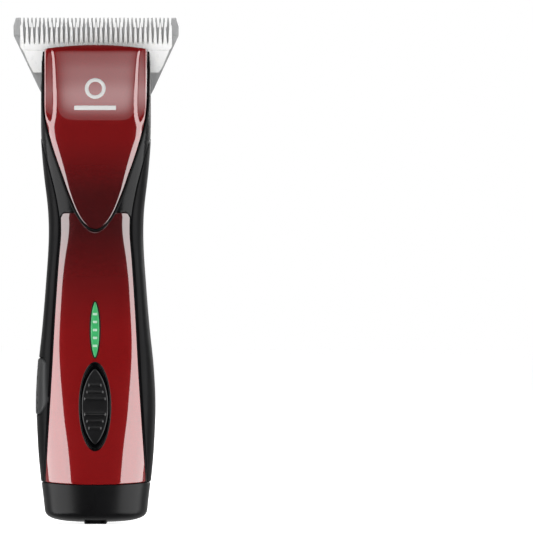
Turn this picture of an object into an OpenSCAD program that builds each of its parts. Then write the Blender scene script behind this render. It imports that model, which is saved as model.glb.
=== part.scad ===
// Cordless hair clipper with a detachable wide blade and a slide-out battery.
// Standing on its base: +Z runs up to the blade, -Y is the front with the switch,
// and +X is to the right in the front view.
// Millimetres.

/* [Body] */
// Width of the body at its widest, across the grips
body_w = 45.4; // [45.2:0.2:46.6]
// Depth of the body in front of the parting plane, at the switch
front_depth = 19; // [18.8:0.1:19.6]
// Depth of the body behind the parting plane
rear_depth = 18.5; // [18.4:0.1:19.2]
// Squareness of the cross-section, where 2 is an ellipse
squareness = 2.8; // [2.7:0.05:3]
// Height of the seam between battery cap and housing
seam_z = 16; // [15.6:0.1:16.4]

/* [Blade] */
// Overall width of the comb blade
blade_w = 63.6; // [62:0.2:66]
// Lean of the blade towards the front
blade_tilt = 18; // [17.5:0.5:18.5]
// Number of comb teeth between the two end guards
comb_teeth = 37; // [35:2:37]
// Number of gaps between the cutter's teeth
cutter_gaps = 30; // [28:2:30]

/* [Drive] */
// Throw of the eccentric pin
throw = 0.8; // [0.6:0.1:0.8]
// Radius of the motor can
motor_r = 11.8; // [11.4:0.1:11.8]

/* [Travel] */
// Travel of the speed switch each way
switch_travel = 1.5; // [1:0.1:1.6]
// Travel of the battery release button
release_travel = 0.8; // [0.6:0.1:0.8]

/* [Hidden] */

$fn = 40;
around = 44;        // points around a body section
shell_step = 6.6;   // height between body sections
far = 60;           // well outside the body

// A moulded skin, kept as its own flat facets so that the round holes added after it stay true
module moulded() {
    resize([0, 0, 0]) children();
}

// ---- body surface ----

skin = 1.5;         // depth of the recess that a red cover sits in
grip_t = 1.2;       // thickness of a grip
wall = 2.6;         // whole housing wall
top_z = 184;        // top of the nose
rear_top = 152;     // top of the rear housing

WIDTHS = [[0, 19.3], [8, 20], [16, 20.95], [30, 22.2], [46, 22.7], [60, 22.05], [75, 20.5], [90, 19.25],
          [108, 18.1], [120, 18.3], [135, 19.95], [148, 20.95], [160, 21.1], [172, 20.95], [190, 20.2]];
FRONTS = [[0, 16], [16, 17.2], [32, 18.6], [46, 19], [60, 18.7], [78, 17.3], [95, 15.7], [110, 15.2],
          [124, 15.5], [140, 16.8], [154, 17], [164, 15], [174, 11.2], [184, 6.8], [194, 2.4]];
REARS = [[0, 15.6], [16, 16.8], [32, 18.1], [46, 18.5], [60, 18.3], [78, 17.4], [95, 16.3], [110, 15.9],
         [125, 16.2], [140, 16.9], [152, 16.9], [165, 16], [190, 14]];
// how square the front half's section is: fuller beside the gauge and on the nose, rounder at the base
SQUARES = [[0, 2.3], [16, 2.35], [30, 2.5], [40, 2.75], [50, 3], [60, 3.4], [73, 3.95], [90, 3.95],
           [101, 3.6], [111, 3.05], [118, 2.95], [126, 3], [134, 3.4], [142, 4], [150, 4.8], [158, 5],
           [190, 5]];

function pick(t, i) = t[min(max(i, 0), len(t) - 1)];
function span_of(t, z, i = 0) = (i >= len(t) - 2 || z < t[i + 1][0]) ? i : span_of(t, z, i + 1);
function slope(t, i) =
    let (a = pick(t, i - 1), b = pick(t, i + 1))
    (b[1] - a[1]) / (b[0] - a[0]);
// A smooth curve through a table's stations
function station(t, z) =
    let (i = span_of(t, z), a = t[i], b = t[i + 1], h = b[0] - a[0], u = min(max((z - a[0]) / h, 0), 1))
    a[1] * (2 * u ^ 3 - 3 * u ^ 2 + 1) + slope(t, i) * h * (u ^ 3 - 2 * u ^ 2 + u)
    + b[1] * (3 * u ^ 2 - 2 * u ^ 3) + slope(t, i + 1) * h * (u ^ 3 - u ^ 2);

function half_w(z) = station(WIDTHS, z) * body_w / 45.4;
function front_d(z) = station(FRONTS, z) * front_depth / 19;
function rear_d(z) = station(REARS, z) * rear_depth / 18.5;
function front_square(z) = station(SQUARES, z) * squareness / 2.8;
function spow(v, p) = sign(v) * pow(abs(v), p);
function section_point(z, a, off, s = 1) =
    let (d = sin(a) < 0 ? front_d(z) : rear_d(z), p = 2 / (sin(a) < 0 ? front_square(z) : squareness))
    [(half_w(z) * s - off) * spow(cos(a), p), (d * s - off) * spow(sin(a), p), z];
// The front surface's y at a place on the front view
function front_y(x, z) =
    -front_d(z) * pow(1 - pow(min(abs(x) / half_w(z), 1), front_square(z)), 1 / front_square(z));
function rear_y(x, z) =
    rear_d(z) * pow(1 - pow(min(abs(x) / half_w(z), 1), squareness), 1 / squareness);

// A closed solid from rings of points
module loft(rings) {
    n = len(rings[0]);
    m = len(rings);
    polyhedron(
        points = [for (r = rings) each r],
        faces = concat(
            [[for (i = [0:n - 1]) i]],
            [for (j = [0:m - 2], i = [0:n - 1])
                [j * n + i, (j + 1) * n + i, (j + 1) * n + (i + 1) % n, j * n + (i + 1) % n]],
            [[for (i = [n - 1:-1:0]) (m - 1) * n + i]]
        ),
        convexity = 8
    );
}

// Heights of the sections between z0 and z1, the same for every layer so that their facets match
function heights(z0, z1) = concat(
    [z0],
    [for (k = [ceil((z0 + 0.4) / shell_step):floor((z1 - 0.4) / shell_step)]) k * shell_step],
    [z1]
);

// The body's solid between two heights, shrunk by off
module body_solid(z0, z1, off) {
    loft([for (z = heights(z0, z1)) [for (i = [0:around - 1]) section_point(z, 360 * i / around, off)]]);
}

// A layer of the body's wall, from depth a to depth b
module layer(z0, z1, a, b) {
    difference() {
        body_solid(z0, z1, a);
        body_solid(z0 - 0.5, z1 + 0.5, b);
    }
}

// Outlines drawn on the front view, x and z, made into prisms along y
module front_prism(y0 = -far, y1 = 0) {
    translate([0, y1, 0]) rotate([90, 0, 0]) linear_extrude(y1 - y0) children();
}

// Outlines drawn on the side view, y and z, made into prisms along x
module side_prism(x0 = -far, x1 = far) {
    translate([x0, 0, 0]) rotate([90, 0, 90]) linear_extrude(x1 - x0) children();
}

module along_y(x, y, z, r, h) {
    translate([x, y, z]) rotate([-90, 0, 0]) cylinder(r = r, h = h);
}

module along_x(x, y, z, r, h) {
    translate([x, y, z]) rotate([0, 90, 0]) cylinder(r = r, h = h);
}

// ---- front view outlines ----

cover_low = 113.2;
COVER = [[132.3, 12.4], [142.2, 15.9], [152, 18.7], [159.4, 19.85], [167, 20.05], [190, 20.05]];
PANEL = [[10, 19.6], [19.5, 19.2], [39.4, 17.9], [59.4, 16.65], [81.2, 15.45], [100.9, 14.15],
         [110.7, 13.35], [117.5, 13.4], [125, 13.6]];
GRIP = [[110, 13.9], [117.5, 13.95], [127.4, 15.6], [135.3, 17.6], [143.6, 19.9], [149, 21.3]];
panel_top = 119.4;

function cover_half(z) = station(COVER, z);
function cover_v(x) = cover_low + (x / 2.84) ^ 2;
function grip_in(z) = z < 117.5 ? station(PANEL, z) + 0.55 : station(GRIP, z);

module mirrored_outline(right) {
    polygon(concat(right, [for (i = [len(right) - 1:-1:0]) [-right[i][0], right[i][1]]]));
}

module cover_outline() {
    mirrored_outline(concat(
        [for (x = [0.4:1.2:12.4]) [x, cover_v(x)]],
        [for (z = [134:5:179]) [cover_half(z), z]],
        [for (a = [0:30:90]) [18.6 + 1.45 * cos(a), 181.2 + 1.45 * sin(a)]],
        [for (x = [16:-4:0.4]) [x, top_z - 1.35 * (x / 18.6) ^ 2]]
    ));
}

module panel_shape() {
    mirrored_outline([for (z = [seam_z + 0.3:7.35:panel_top + 0.1]) [station(PANEL, z), z]]);
}

module panel_outline() {
    intersection() {
        offset(r = 0.9, $fn = 24) offset(delta = -0.9) panel_shape();
        translate([-far / 2, 0]) square([far, 60]);
    }
    intersection() {
        offset(r = 2.8, $fn = 32) offset(delta = -2.8) panel_shape();
        translate([-far / 2, 59.9]) square([far, far + 10]);
    }
}

module grip_outline() {
    right = [for (z = [seam_z + 0.2:7.34:148.5]) [grip_in(z), z]];
    polygon(concat(right, [[far / 2, 148.5], [far / 2, seam_z + 0.2]]));
}

// ---- switch, lens and button outlines ----

switch_z = 45.2;
lens_z = 74.6;

module oval(rx, rz, z) {
    translate([0, z]) scale([rx, rz]) circle(r = 1, $fn = 64);
}

// A pointed oval from two arcs, half-width a and half-length b
module lens_shape(a, b, z) {
    r = (a ^ 2 + b ^ 2) / (2 * a);
    translate([0, z]) offset(r = 0.6, $fn = 20) offset(delta = -0.6) intersection() {
        translate([r - a, 0]) circle(r = r, $fn = 160);
        translate([a - r, 0]) circle(r = r, $fn = 160);
    }
}

button_front = -13.8;
button_rear = 5.5;
button_low = 42;
button_high = 63.6;

module button_outline(grow = 0) {
    offset(r = grow, $fn = 32) hull() {
        translate([button_front + 3, button_high - 3]) circle(r = 3, $fn = 32);
        translate([button_rear - 3, button_high - 3]) circle(r = 3, $fn = 32);
        translate([button_front + 6.5, button_low + 6.5]) circle(r = 6.5, $fn = 32);
        translate([button_rear - 6.5, button_low + 6.5]) circle(r = 6.5, $fn = 32);
    }
}

// ---- blade frame: z up the blade from the heel, -y towards the cutter ----

blade_len = 38.2;
heel = [0, 13.3, 158.76];
comb_t = 2.6;
head_back = -5.5;   // where the head's walls end, in front of the blade

module blade_frame() {
    translate(heel) rotate([blade_tilt, 0, 0]) children();
}

// A blade outline, x and z, from depth y0 to y1
module blade_plate(y0, y1) {
    translate([0, y1, 0]) rotate([90, 0, 0]) linear_extrude(y1 - y0) children();
}

module front_half() {
    side_prism() polygon([[-far, seam_z], [0, seam_z], [0, rear_top + 0.2], [far, rear_top + 0.2],
                          [far, 188], [-far, 188]]);
}

module behind_blade_plane() {
    blade_frame() translate([-far, head_back, -20]) cube([2 * far, far, 80]);
}

// ---- housing ----

lock_z = 142;       // height of the blade lock's stem

// Housing screws, as a lower and an upper pair
screw_x = [11.5, 15.2];
screw_z = [86.5, 140];
boss_front = [-11.7, -10.5];
boss_rear = [12.2, 9.6];
screw_seat = [10.6, 8.4];
ear_t = [0, 1];

module at_screws(k) {
    for (s = [-1, 1]) translate([s * screw_x[k], 0, screw_z[k]]) children();
}

module front_housing() {
    color("#141416") union() {
        moulded() difference() {
            intersection() {
                layer(seam_z + 0.2, 181.4, 0, wall);
                front_half();
            }
            behind_blade_plane();
            // recesses for the red panel and the grips
            intersection() {
                layer(seam_z - 1, 150, -2, skin);
                front_prism() offset(delta = 0.12) panel_outline();
            }
            for (s = [0, 1]) mirror([s, 0, 0]) intersection() {
                layer(seam_z - 1, 150, -2, grip_t);
                front_prism(-far, far) offset(delta = 0.1) grip_outline();
            }
            // opening under the nose cover, with a ledge that its seal sits on
            intersection() {
                layer(100, 188, -2, skin + 0.1);
                front_prism() offset(delta = 0.6) cover_outline();
            }
            front_prism(-far, 0) intersection() {
                offset(delta = -1.8) cover_outline();
                translate([-far / 2, 120]) square([far, far]);
            }
            front_prism() oval(6.3, 17.2, switch_z);
            front_prism() lens_shape(1.6, 10.4, lens_z);
            side_prism(-far, -12) button_outline(0.5);
            // two small notches in each edge of the head
            for (s = [-1, 1], z = [175.4, 177.6])
                translate([s * 21, -6, z]) cube([1.4, 30, 0.7], center = true);
        }
        for (k = [0, 1]) at_screws(k) difference() {
            along_y(0, boss_front[k], 0, 2.4, -boss_front[k] - ear_t[k]);
            along_y(0, boss_front[k] + 2, 0, 1.32, 12);
        }
    }
}

module rear_housing() {
    color("#141416") union() {
        moulded() difference() {
            union() {
                intersection() {
                    layer(seam_z + 0.2, rear_top, 0, wall);
                    translate([-far, 0, 0]) cube([2 * far, far, 200]);
                }
                // deck that closes the top behind the hinge
                intersection() {
                    body_solid(147.8, 149.6, 1);
                    translate([-far, 3, 100]) cube([2 * far, far, 100]);
                }
            }
            for (s = [0, 1]) mirror([s, 0, 0]) intersection() {
                layer(seam_z - 1, 150, -2, grip_t);
                front_prism(-far, far) offset(delta = 0.1) grip_outline();
            }
            side_prism(-far, -12) button_outline(0.5);
            translate([-14.5, 0, 140]) cube([29, 8, 20]);
            // way for the blade lock's stem, spring and nose
            translate([-2.6, 10, lock_z - 5.4]) cube([5.2, 12, 7.2]);
            translate([-3.4, 11.8, 147]) cube([6.8, 2.2, 4]);
            for (k = [0, 1]) at_screws(k) along_y(0, 1, 0, 2.7, far);
        }
        for (k = [0, 1]) at_screws(k) difference() {
            along_y(0, ear_t[k], 0, 3.2, boss_rear[k] - ear_t[k]);
            along_y(0, -1, 0, 1.45, 20);
            along_y(0, screw_seat[k], 0, 2.55, 20);
        }
    }
}

module housing_screws() {
    color("#8c8f94") for (k = [0, 1]) at_screws(k) difference() {
        union() {
            along_y(0, -7.6, 0, 1.3, 7.8 + screw_seat[k]);
            along_y(0, screw_seat[k], 0, 2.4, 1.5);
        }
        // cross recess
        for (a = [0, 90])
            translate([0, screw_seat[k] + 1.3, 0]) rotate([0, a, 0]) cube([2.6, 1.6, 0.6], center = true);
    }
}

module grip_blank() {
    moulded() intersection() {
        layer(seam_z + 0.2, 148.6, -0.15, grip_t - 0.05);
        front_prism(-far, far) offset(delta = -0.05) grip_outline();
    }
}

module side_grip_right() {
    color("#1b1b1d") grip_blank();
}

module side_grip_left() {
    color("#1b1b1d") moulded() difference() {
        mirror([1, 0, 0]) intersection() {
            layer(seam_z + 0.2, 148.6, -0.15, grip_t - 0.05);
            front_prism(-far, far) offset(delta = -0.05) grip_outline();
        }
        side_prism(-far, -12) button_outline(0.45);
    }
}

module front_panel() {
    color("#7d1013") moulded() difference() {
        intersection() {
            layer(seam_z + 0.2, 121, 0, skin - 0.05);
            front_prism() panel_outline();
        }
        front_prism() offset(delta = 0.6) cover_outline();
        front_prism() oval(6.3, 17.2, switch_z);
        front_prism() lens_shape(1.9, 11, lens_z);
    }
}

module nose_cover() {
    color("#7d1013") moulded() intersection() {
        layer(110, 186, -0.25, skin);
        front_prism() cover_outline();
        front_half();
    }
}

module nose_cover_seal() {
    color("#0a0a0b") moulded() difference() {
        intersection() {
            layer(110, 182.2, 0.1, skin);
            front_prism() difference() {
                offset(delta = 0.5) cover_outline();
                offset(delta = 0.08) cover_outline();
            }
        }
        behind_blade_plane();
        translate([-far, -far, 181.2]) cube(2 * far);
    }
}

badge_z = 167;

module circle_at(r, z, sides) {
    translate([0, z]) circle(r = r, $fn = sides);
}

// A plain raised mark: a ring over a bar, both following the cover
module nose_badge() {
    color("#dcdcdc") moulded() intersection() {
        layer(150, 178, -0.5, -0.3);
        front_prism() {
            difference() {
                circle_at(4, badge_z, 28);
                circle_at(2.6, badge_z, 28);
            }
            translate([-8, badge_z - 8.3]) square([16, 1.7]);
        }
    }
}

// ---- indicator and switch ----

module indicator_lens() {
    color("#3fae60") moulded() {
        intersection() {
            layer(60, 90, -0.1, skin - 0.05);
            front_prism() lens_shape(1.75, 10.85, lens_z);
        }
        intersection() {
            layer(60, 90, skin - 0.2, 4.6);
            front_prism() lens_shape(1.45, 9.6, lens_z);
        }
    }
}

module switch_bezel() {
    color("#08080a") moulded() difference() {
        intersection() {
            layer(20, 70, -0.05, 2.3);
            front_prism() oval(6.2, 17.1, switch_z);
        }
        intersection() {
            layer(20, 70, -2, 1);
            front_prism() oval(5.6, 16.4, switch_z);
        }
        translate([-2, -far, switch_z - 2.2 - switch_travel]) cube([4, far, 4.4 + 2 * switch_travel]);
    }
}

pad_rise = 0.9;
rib_rows = [2.95, 5.6, 8.25];
rib_halves = [3.75, 2.85, 2.1];

module switch_pad() {
    color("#131315") union() {
        moulded() difference() {
            intersection() {
                layer(25, 65, -pad_rise, 0.7);
                front_prism() lens_shape(5.1, 14.45, switch_z);
            }
            // thumb hollow across the middle
            translate([-far / 2, -front_d(switch_z) - pad_rise - 7.3, switch_z])
                rotate([0, 90, 0]) cylinder(r = 8, h = far, $fn = 72);
        }
        for (s = [-1, 1], k = [0:2]) {
            z = switch_z + s * rib_rows[k];
            y = front_y(0, z) - pad_rise + 0.35;
            along_x(-rib_halves[k], y, z, 0.55, 2 * rib_halves[k]);
        }
        translate([-1.6, -18.5, switch_z - 1.9]) cube([3.2, 4.9, 3.8]);
    }
}

board_y = -9;       // front face of the board
switch_body = 3.2;

module switch_knob() {
    color("#2c2c30") translate([-1, -13.58, switch_z - 1.3]) cube([2, 1.6, 2.6]);
}

module slide_switch() {
    color("#b9bcc0") difference() {
        translate([-4.5, board_y - switch_body, switch_z - 6.5]) cube([9, switch_body - 0.02, 13]);
        translate([-1.2, board_y - switch_body - 1, switch_z - 1.7 - switch_travel])
            cube([2.4, 2.2, 3.4 + 2 * switch_travel]);
    }
}

module main_board() {
    color("#1e5b38") difference() {
        translate([-11, board_y, 27]) cube([22, 1.2, 56]);
        for (s = [-1, 1], z = [30, 66]) along_y(s * 9, board_y - 1, z, 1.1, 4);
    }
}

// the board's parts: middle x and z, width and height
CHIPS = [[-7, 55, 4, 5], [5.5, 54, 3, 3], [-7.5, 34, 3.5, 3.5], [5, 32, 4, 5], [6, 74, 3, 6]];
chip_t = 1.28;

module board_chips() {
    color("#202024") for (c = CHIPS)
        translate([c[0] - c[2] / 2, board_y - chip_t - 0.02, c[1] - c[3] / 2]) cube([c[2], chip_t, c[3]]);
}

led_pitch = 3.04;

module indicator_leds() {
    color("#e8f4e0") for (i = [-2:2])
        translate([-0.8, board_y - 1.1, lens_z + i * led_pitch - 0.5]) cube([1.6, 1.08, 1]);
}

module contact_block() {
    color("#26262a") difference() {
        translate([-8, -3, 80.6]) cube([16, 13, 4.6]);
        for (x = [-5, 0, 5]) translate([x - 1.2, 0, 79]) cube([2.4, 6, 4.4]);
    }
}

module contact_springs() {
    color("#c9a24a") for (x = [-5, 0, 5]) translate([x - 0.8, 1, 79.5]) difference() {
        cube([1.6, 4, 3.6]);
        translate([-1, 0.4, 0.4]) cube([4, 4, 2.8]);
    }
}

// ---- battery ----

cell_r = 7.1;
cell_x = 7.35;
case_y = 3.5;
case_r = 8.25;
case_low = 4.4;
case_top = 79;

// A box that stands on a point in the middle of its base
module centred_box(at, size) {
    translate([at[0] - size[0] / 2, at[1] - size[1] / 2, at[2]]) cube(size);
}

module stadium(r) {
    for (s = [-1, 1]) translate([s * cell_x, case_y]) circle(r = r);
    translate([-cell_x, case_y - r]) square([2 * cell_x, 2 * r]);
}

module battery_case() {
    color("#202125") difference() {
        translate([0, 0, case_low]) linear_extrude(case_top - case_low) stadium(case_r);
        translate([0, 0, case_low + 1.4]) linear_extrude(77.4 - case_low - 1.4) stadium(cell_r + 0.3);
        for (x = [-5, 0, 5]) translate([x - 1.4, 1, 70]) cube([2.8, 4, 20]);
    }
}

module battery_cells() {
    color("#2f6f9c") for (s = [-1, 1]) translate([s * cell_x, case_y, 8]) {
        cylinder(r = cell_r, h = 65);
        translate([0, 0, 64.9]) cylinder(r = 2.6, h = 1.3);
    }
}

module battery_terminals() {
    color("#d8b25a") for (x = [-5, 0, 5]) translate([x - 1.2, 1.2, 77.6]) cube([2.4, 3.6, 1.75]);
}

rail_w = 8.6;
rail_l = 21.9;
rail_h = 2.3;
cap_top = seam_z - 0.3;
base_z = 0.6;
// How far in the rounded base draws the cap's section, as a share
function cap_scale(z) = let (u = min(1, (z - base_z) / 5.4)) pow(1 - pow(1 - u, 3.2), 1 / 3.2);

module cap_solid(off, low) {
    heights = [for (u = [0.005, 0.05, 0.14, 0.28, 0.45, 0.65, 0.85, 1]) base_z + 5.4 * u];
    loft([for (z = concat([for (h = heights) h + low], [9, cap_top + (low > 0 ? 1 : 0)]))
        [for (i = [0:around - 1]) section_point(z, 360 * i / around, off, cap_scale(z - low))]]);
}

module battery_cap() {
    color("#101012") difference() {
        union() {
            moulded() difference() {
                cap_solid(0, 0);
                cap_solid(1.9, 1.7);
            }
            // rib that holds the battery case
            translate([0, 0, 2.2]) linear_extrude(6) stadium(case_r + 1.3);
        }
        translate([0, 0, case_low - 0.03]) linear_extrude(10) stadium(case_r + 0.05);
        // slot for the contact rail
        centred_box([0, 0, -1], [rail_w + 0.1, rail_l + 0.1, rail_h + 1.05]);
    }
}

// Rail under the cap that holds the charging plates. The clipper stands on it.
module contact_rail() {
    color("#18181a") difference() {
        centred_box([0, 0, 0], [rail_w, rail_l, rail_h]);
        for (s = [-1, 1]) centred_box([0, s * 5, -1], [3.4, 5.4, 2.2]);
    }
}

module charge_contacts() {
    color("#d2d4d6") for (s = [-1, 1]) translate([-1.5, s * 5 - 2.5, 0.3]) cube([3, 5, 0.88]);
}

hook_z = 53.4;
stem_at = [0, 3.5, hook_z + 1.2];

// Springy arm on the battery whose hook sits over the guide's ledge
module battery_catch() {
    color("#3a3a3e") {
        translate([-16.9, 1.7, 30]) cube([1.28, 3.6, 4]);
        translate([-16.9, 1.7, 33.9]) cube([0.6, 3.6, 22]);
        translate([-17.9, 1.7, hook_z]) cube([1.5, 3.6, 2.4]);
    }
}

// ---- battery release ----

module release_button() {
    color("#3a3b3d") union() {
        moulded() difference() {
            intersection() {
                layer(38, 68, -0.35, 1.3);
                side_prism(-far, -12) button_outline(0);
            }
            // clear of the front panel when pressed in
            translate([-17.9 - release_travel, -far - 12.4, 20]) cube(far);
            // chevron grooves for the thumb
            for (s = [-1, 1], k = [0:2], m = [-1, 1])
                translate([-far / 2, -4.2 + m * 2.2, 53 + s * (2 + 3 * k)])
                    rotate([m * s * 38, 0, 0])
                        translate([0, -2.9, -0.35]) cube([far / 2 - 21.35 + k * 0.35, 5.8, 0.7]);
        }
        along_x(-21.6, stem_at[1], stem_at[2], 1.4, 3.6);
    }
}

module release_button_guide() {
    color("#26262a") difference() {
        union() {
            translate([-18.9, -5, 44]) cube([0.8, 11.6, 14]);
            // ledge, as deep as the hook moves less 0.2
            translate([-18.2, 1.2, hook_z - 3.35]) cube([release_travel + 0.1, 4.6, 3]);
        }
        along_x(-20, stem_at[1], stem_at[2], 1.75, 1.9);
    }
}

// A round wire wound into a coil along z
module coil(r, wire, turns, pitch) {
    per = 12;
    sides = 6;
    loft([for (k = [0:turns * per]) let (a = 360 * k / per)
        [for (i = [0:sides - 1]) let (b = -360 * i / sides, q = r + wire * cos(b))
            [q * cos(a), q * sin(a), pitch * k / per + wire * sin(b)]]]);
}

module release_spring() {
    color("#b0b3b6") translate([-20.4, stem_at[1], stem_at[2]]) rotate([0, 90, 0]) coil(2.3, 0.18, 3, 0.43);
}

// ---- drive ----

motor_low = 92;
motor_top = 130;
pivot_z = 152;
pivot_r = 1.5;
cam_r = 3.2;
fork_z = 137.8;

module motor_can() {
    color("#b7babd") difference() {
        translate([0, 0, motor_low]) cylinder(r = motor_r, h = motor_top - motor_low);
        translate([0, 0, motor_low - 1]) cylinder(r = motor_r - 0.9, h = motor_top - motor_low - 0.4);
        translate([0, 0, motor_top - 3]) cylinder(r = 3.02, h = 5);
        for (s = [-1, 1]) translate([s * 8, 0, motor_top - 3]) cylinder(r = 1, h = 5);
    }
}

module motor_magnets() {
    color("#4a4a4e") for (s = [0, 180]) rotate([0, 0, s]) translate([0, 0, motor_low + 6])
        rotate_extrude(angle = 130) translate([motor_r - 2.9, 0]) square([1.95, 24]);
}

module motor_end_cap() {
    color("#303034") difference() {
        union() {
            translate([0, 0, motor_low - 1.8]) cylinder(r = motor_r - 0.3, h = 1.8);
            translate([0, 0, motor_low - 0.1]) cylinder(r = motor_r - 0.95, h = 2.5);
        }
        translate([0, 0, motor_low - 5]) cylinder(r = 3.02, h = 20);
        for (s = [-1, 1]) translate([s * 6 - 0.5, -9.2, motor_low - 5]) cube([1, 2, 5.2]);
    }
}

module motor_bearings() {
    color("#9ea1a5") for (z = [motor_low - 1.6, motor_top - 2.2]) translate([0, 0, z]) difference() {
        cylinder(r = 3, h = 2.2);
        translate([0, 0, -1]) cylinder(r = 1.54, h = 5);
    }
}

module rotor_shaft() {
    color("#c6c8cb") translate([0, 0, motor_low - 1.7]) cylinder(r = 1.5, h = 45.3);
}

module rotor_core() {
    color("#7d5a3a") difference() {
        translate([0, 0, motor_low + 8]) cylinder(r = motor_r - 3.4, h = 20);
        translate([0, 0, motor_low]) cylinder(r = 1.5, h = 40);
        for (a = [0:120:240]) rotate([0, 0, a]) translate([5.4, -0.8, motor_low + 5]) cube([5, 1.6, 30]);
    }
}

module commutator() {
    color("#c07a3c") difference() {
        translate([0, 0, motor_low + 3]) cylinder(r = 3.4, h = 4.6);
        translate([0, 0, motor_low]) cylinder(r = 1.5, h = 20);
    }
}

// Disc with a counterweight and an offset pin
module eccentric_cam() {
    color("#c79a4b") difference() {
        union() {
            translate([0, 0, 132.9]) cylinder(r = 4.6, h = 2.3);
            translate([0, 0, 132.9]) rotate([0, 0, 115]) rotate_extrude(angle = 130) square([6.6, 2.3]);
            translate([throw, 0, 135.1]) cylinder(r = 1.5, h = 5.5);
        }
        translate([0, 0, 130]) cylinder(r = 1.5, h = 5.62);
    }
}

module cam_bearing() {
    color("#d5d7d9") translate([throw, 0, 135.6]) difference() {
        cylinder(r = cam_r, h = 4.2);
        translate([0, 0, -1]) cylinder(r = 1.52, h = 8);
    }
}

fork_in = cam_r + 2 * throw + 0.15;

module drive_lever() {
    color("#3d3f44") difference() {
        union() {
            for (s = [-1, 1]) translate([s * (fork_in + 1.2) - 1.2, -3, fork_z - 1.8]) cube([2.4, 6, 6.8]);
            translate([-fork_in - 2.4, -3.5, fork_z + 4]) cube([2 * fork_in + 4.8, 4, 4.4]);
            translate([-4, -3.5, fork_z + 8]) cube([8, 4, 8]);
            along_y(0, -4.4, pivot_z, 4.2, 5.6);
            translate([-3, -3.5, pivot_z]) cube([6, 4, 21.4]);
            translate([-1.75, 0.4, 170.4]) cube([3.5, 4.5, 3]);
        }
        along_y(0, -10, pivot_z, pivot_r + 0.04, 20);
    }
}

module lever_pivot_pin() {
    color("#c6c8cb") along_y(0, -8, pivot_z, pivot_r, 12);
}

module drive_frame() {
    color("#8f9398") difference() {
        union() {
            translate([0, 0, motor_top + 0.02]) cylinder(r = 12.3, h = 2.4);
            for (s = [-1, 1]) {
                translate([s * 11.25 - 1.25, -8, motor_top + 0.02]) cube([2.5, 12.2, 28]);
                translate([s * 14.9 - 2.6, -0.98, 137]) cube([5.2, 1.96, 6]);
            }
            translate([-12.4, -8, 147.5]) cube([24.8, 3, 9]);
            translate([-12.4, 1.7, 147.5]) cube([24.8, 2.5, 9]);
        }
        translate([0, 0, 120]) cylinder(r = 7.2, h = 14);
        along_y(0, -12, pivot_z, pivot_r, 24);
        for (s = [-1, 1]) {
            translate([s * 8, 0, 120]) cylinder(r = 1.05, h = 14);
            along_y(s * screw_x[1], -3, screw_z[1], 1.45, 6);
            along_y(s * screw_x[1], 0.97, screw_z[1], 3.3, 6);
            along_y(s * 11.4, -2, 145, 0.92, 10);
        }
    }
}

module motor_screws() {
    color("#8c8f94") for (s = [-1, 1]) translate([s * 8, 0, 0]) {
        translate([0, 0, 128.4]) cylinder(r = 0.98, h = 4.1);
        translate([0, 0, 132.44]) cylinder(r = 1.35, h = 0.8);
    }
}

function lerp3(a, b, u) = a * (1 - u) + b * u;
// A wire from a to b that leaves each end along z
module wire(a, b, r) {
    steps = 8;
    sides = 8;
    loft([for (k = [0:steps]) let (u = k / steps, s = 3 * u ^ 2 - 2 * u ^ 3,
            c = [lerp3(a[0], b[0], s), lerp3(a[1], b[1], s), lerp3(a[2], b[2], u)])
        [for (i = [0:sides - 1]) let (t = -360 * i / sides) c + [r * cos(t), -r * sin(t), 0]]]);
}

module motor_leads() {
    color("#a01c1c") for (s = [-1, 1]) wire([s * 5, -8.4, 83.02], [s * 6, -8.4, 90.15], 0.42);
}

// ---- blade hinge ----

// the hinge's axis in the blade's own frame, and its pin
pin_local = [0, -4, -3];
pin_r = 1.2;

// a cylinder on the hinge's axis, in the blade's frame
module on_pin(x, radius, length) {
    translate([x, pin_local[1], pin_local[2]]) rotate([0, 90, 0]) cylinder(r = radius, h = length);
}

module hinge_lug(x) {
    blade_frame() on_pin(x, 2.6, 2.5);
    translate([x + 0.15, 4.4, 151.7]) cube([2.2, 5.6, 4.7]);
}

module hinge_base() {
    color("#a4a7ab") difference() {
        union() {
            translate([-13.1, 4.3, 142.9]) cube([26.2, 1.5, 9.9]);
            hinge_lug(-13.4);
            hinge_lug(10.9);
        }
        blade_frame() on_pin(-20, pin_r, 40);
        for (s = [-1, 1]) along_y(s * 11.4, 0, 145, 1, 10);
    }
}

module hinge_pin() {
    color("#c6c8cb") blade_frame() on_pin(-14, pin_r, 28);
}

module hinge_screws() {
    color("#8c8f94") for (s = [-1, 1]) {
        along_y(s * 11.4, -1, 145, 0.9, 6.9);
        along_y(s * 11.4, 5.82, 145, 1.9, 1.2);
    }
}

module blade_tongue() {
    color("#8b8e92") blade_frame() difference() {
        union() {
            on_pin(-10.6, 2.4, 21.2);
            translate([-9.4, -4.75, -3]) cube([18.8, 1.45, 14.4]);
        }
        on_pin(-20, pin_r + 0.05, 40);
        translate([-2, -6, 5]) cube([4, 4, 3]);
    }
}

module blade_lock_button() {
    color("#26262a") union() {
        moulded() difference() {
            intersection() {
                layer(130, 151, -1.1, -0.1);
                front_prism(0, far) translate([0, lock_z - 0.3])
                    offset(r = 1.6, $fn = 20) square([7.4, 8.2], center = true);
            }
            for (k = [-1:1]) translate([-3.6, 17.4, lock_z + 2.2 * k - 0.65]) cube([7.2, 4, 0.7]);
        }
        translate([-2, 12.2, lock_z - 1.5]) cube([4, rear_d(lock_z) - 12, 3]);
        translate([-3, 12.2, lock_z - 1.5]) cube([6, 1.4, 10.8]);
    }
}

module lock_spring() {
    color("#b0b3b6") translate([0, 15, lock_z - 5.2]) coil(1.1, 0.17, 4, 0.87);
}

// ---- blade set ----

comb_pitch = 1.541;
comb_gap = 3.9;
tooth_tip = 0.43;
cutter_pitch = 1.898;
cutter_low = 17.1;
cutter_tip = 36.6;
wing = blade_w / 2;

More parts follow.
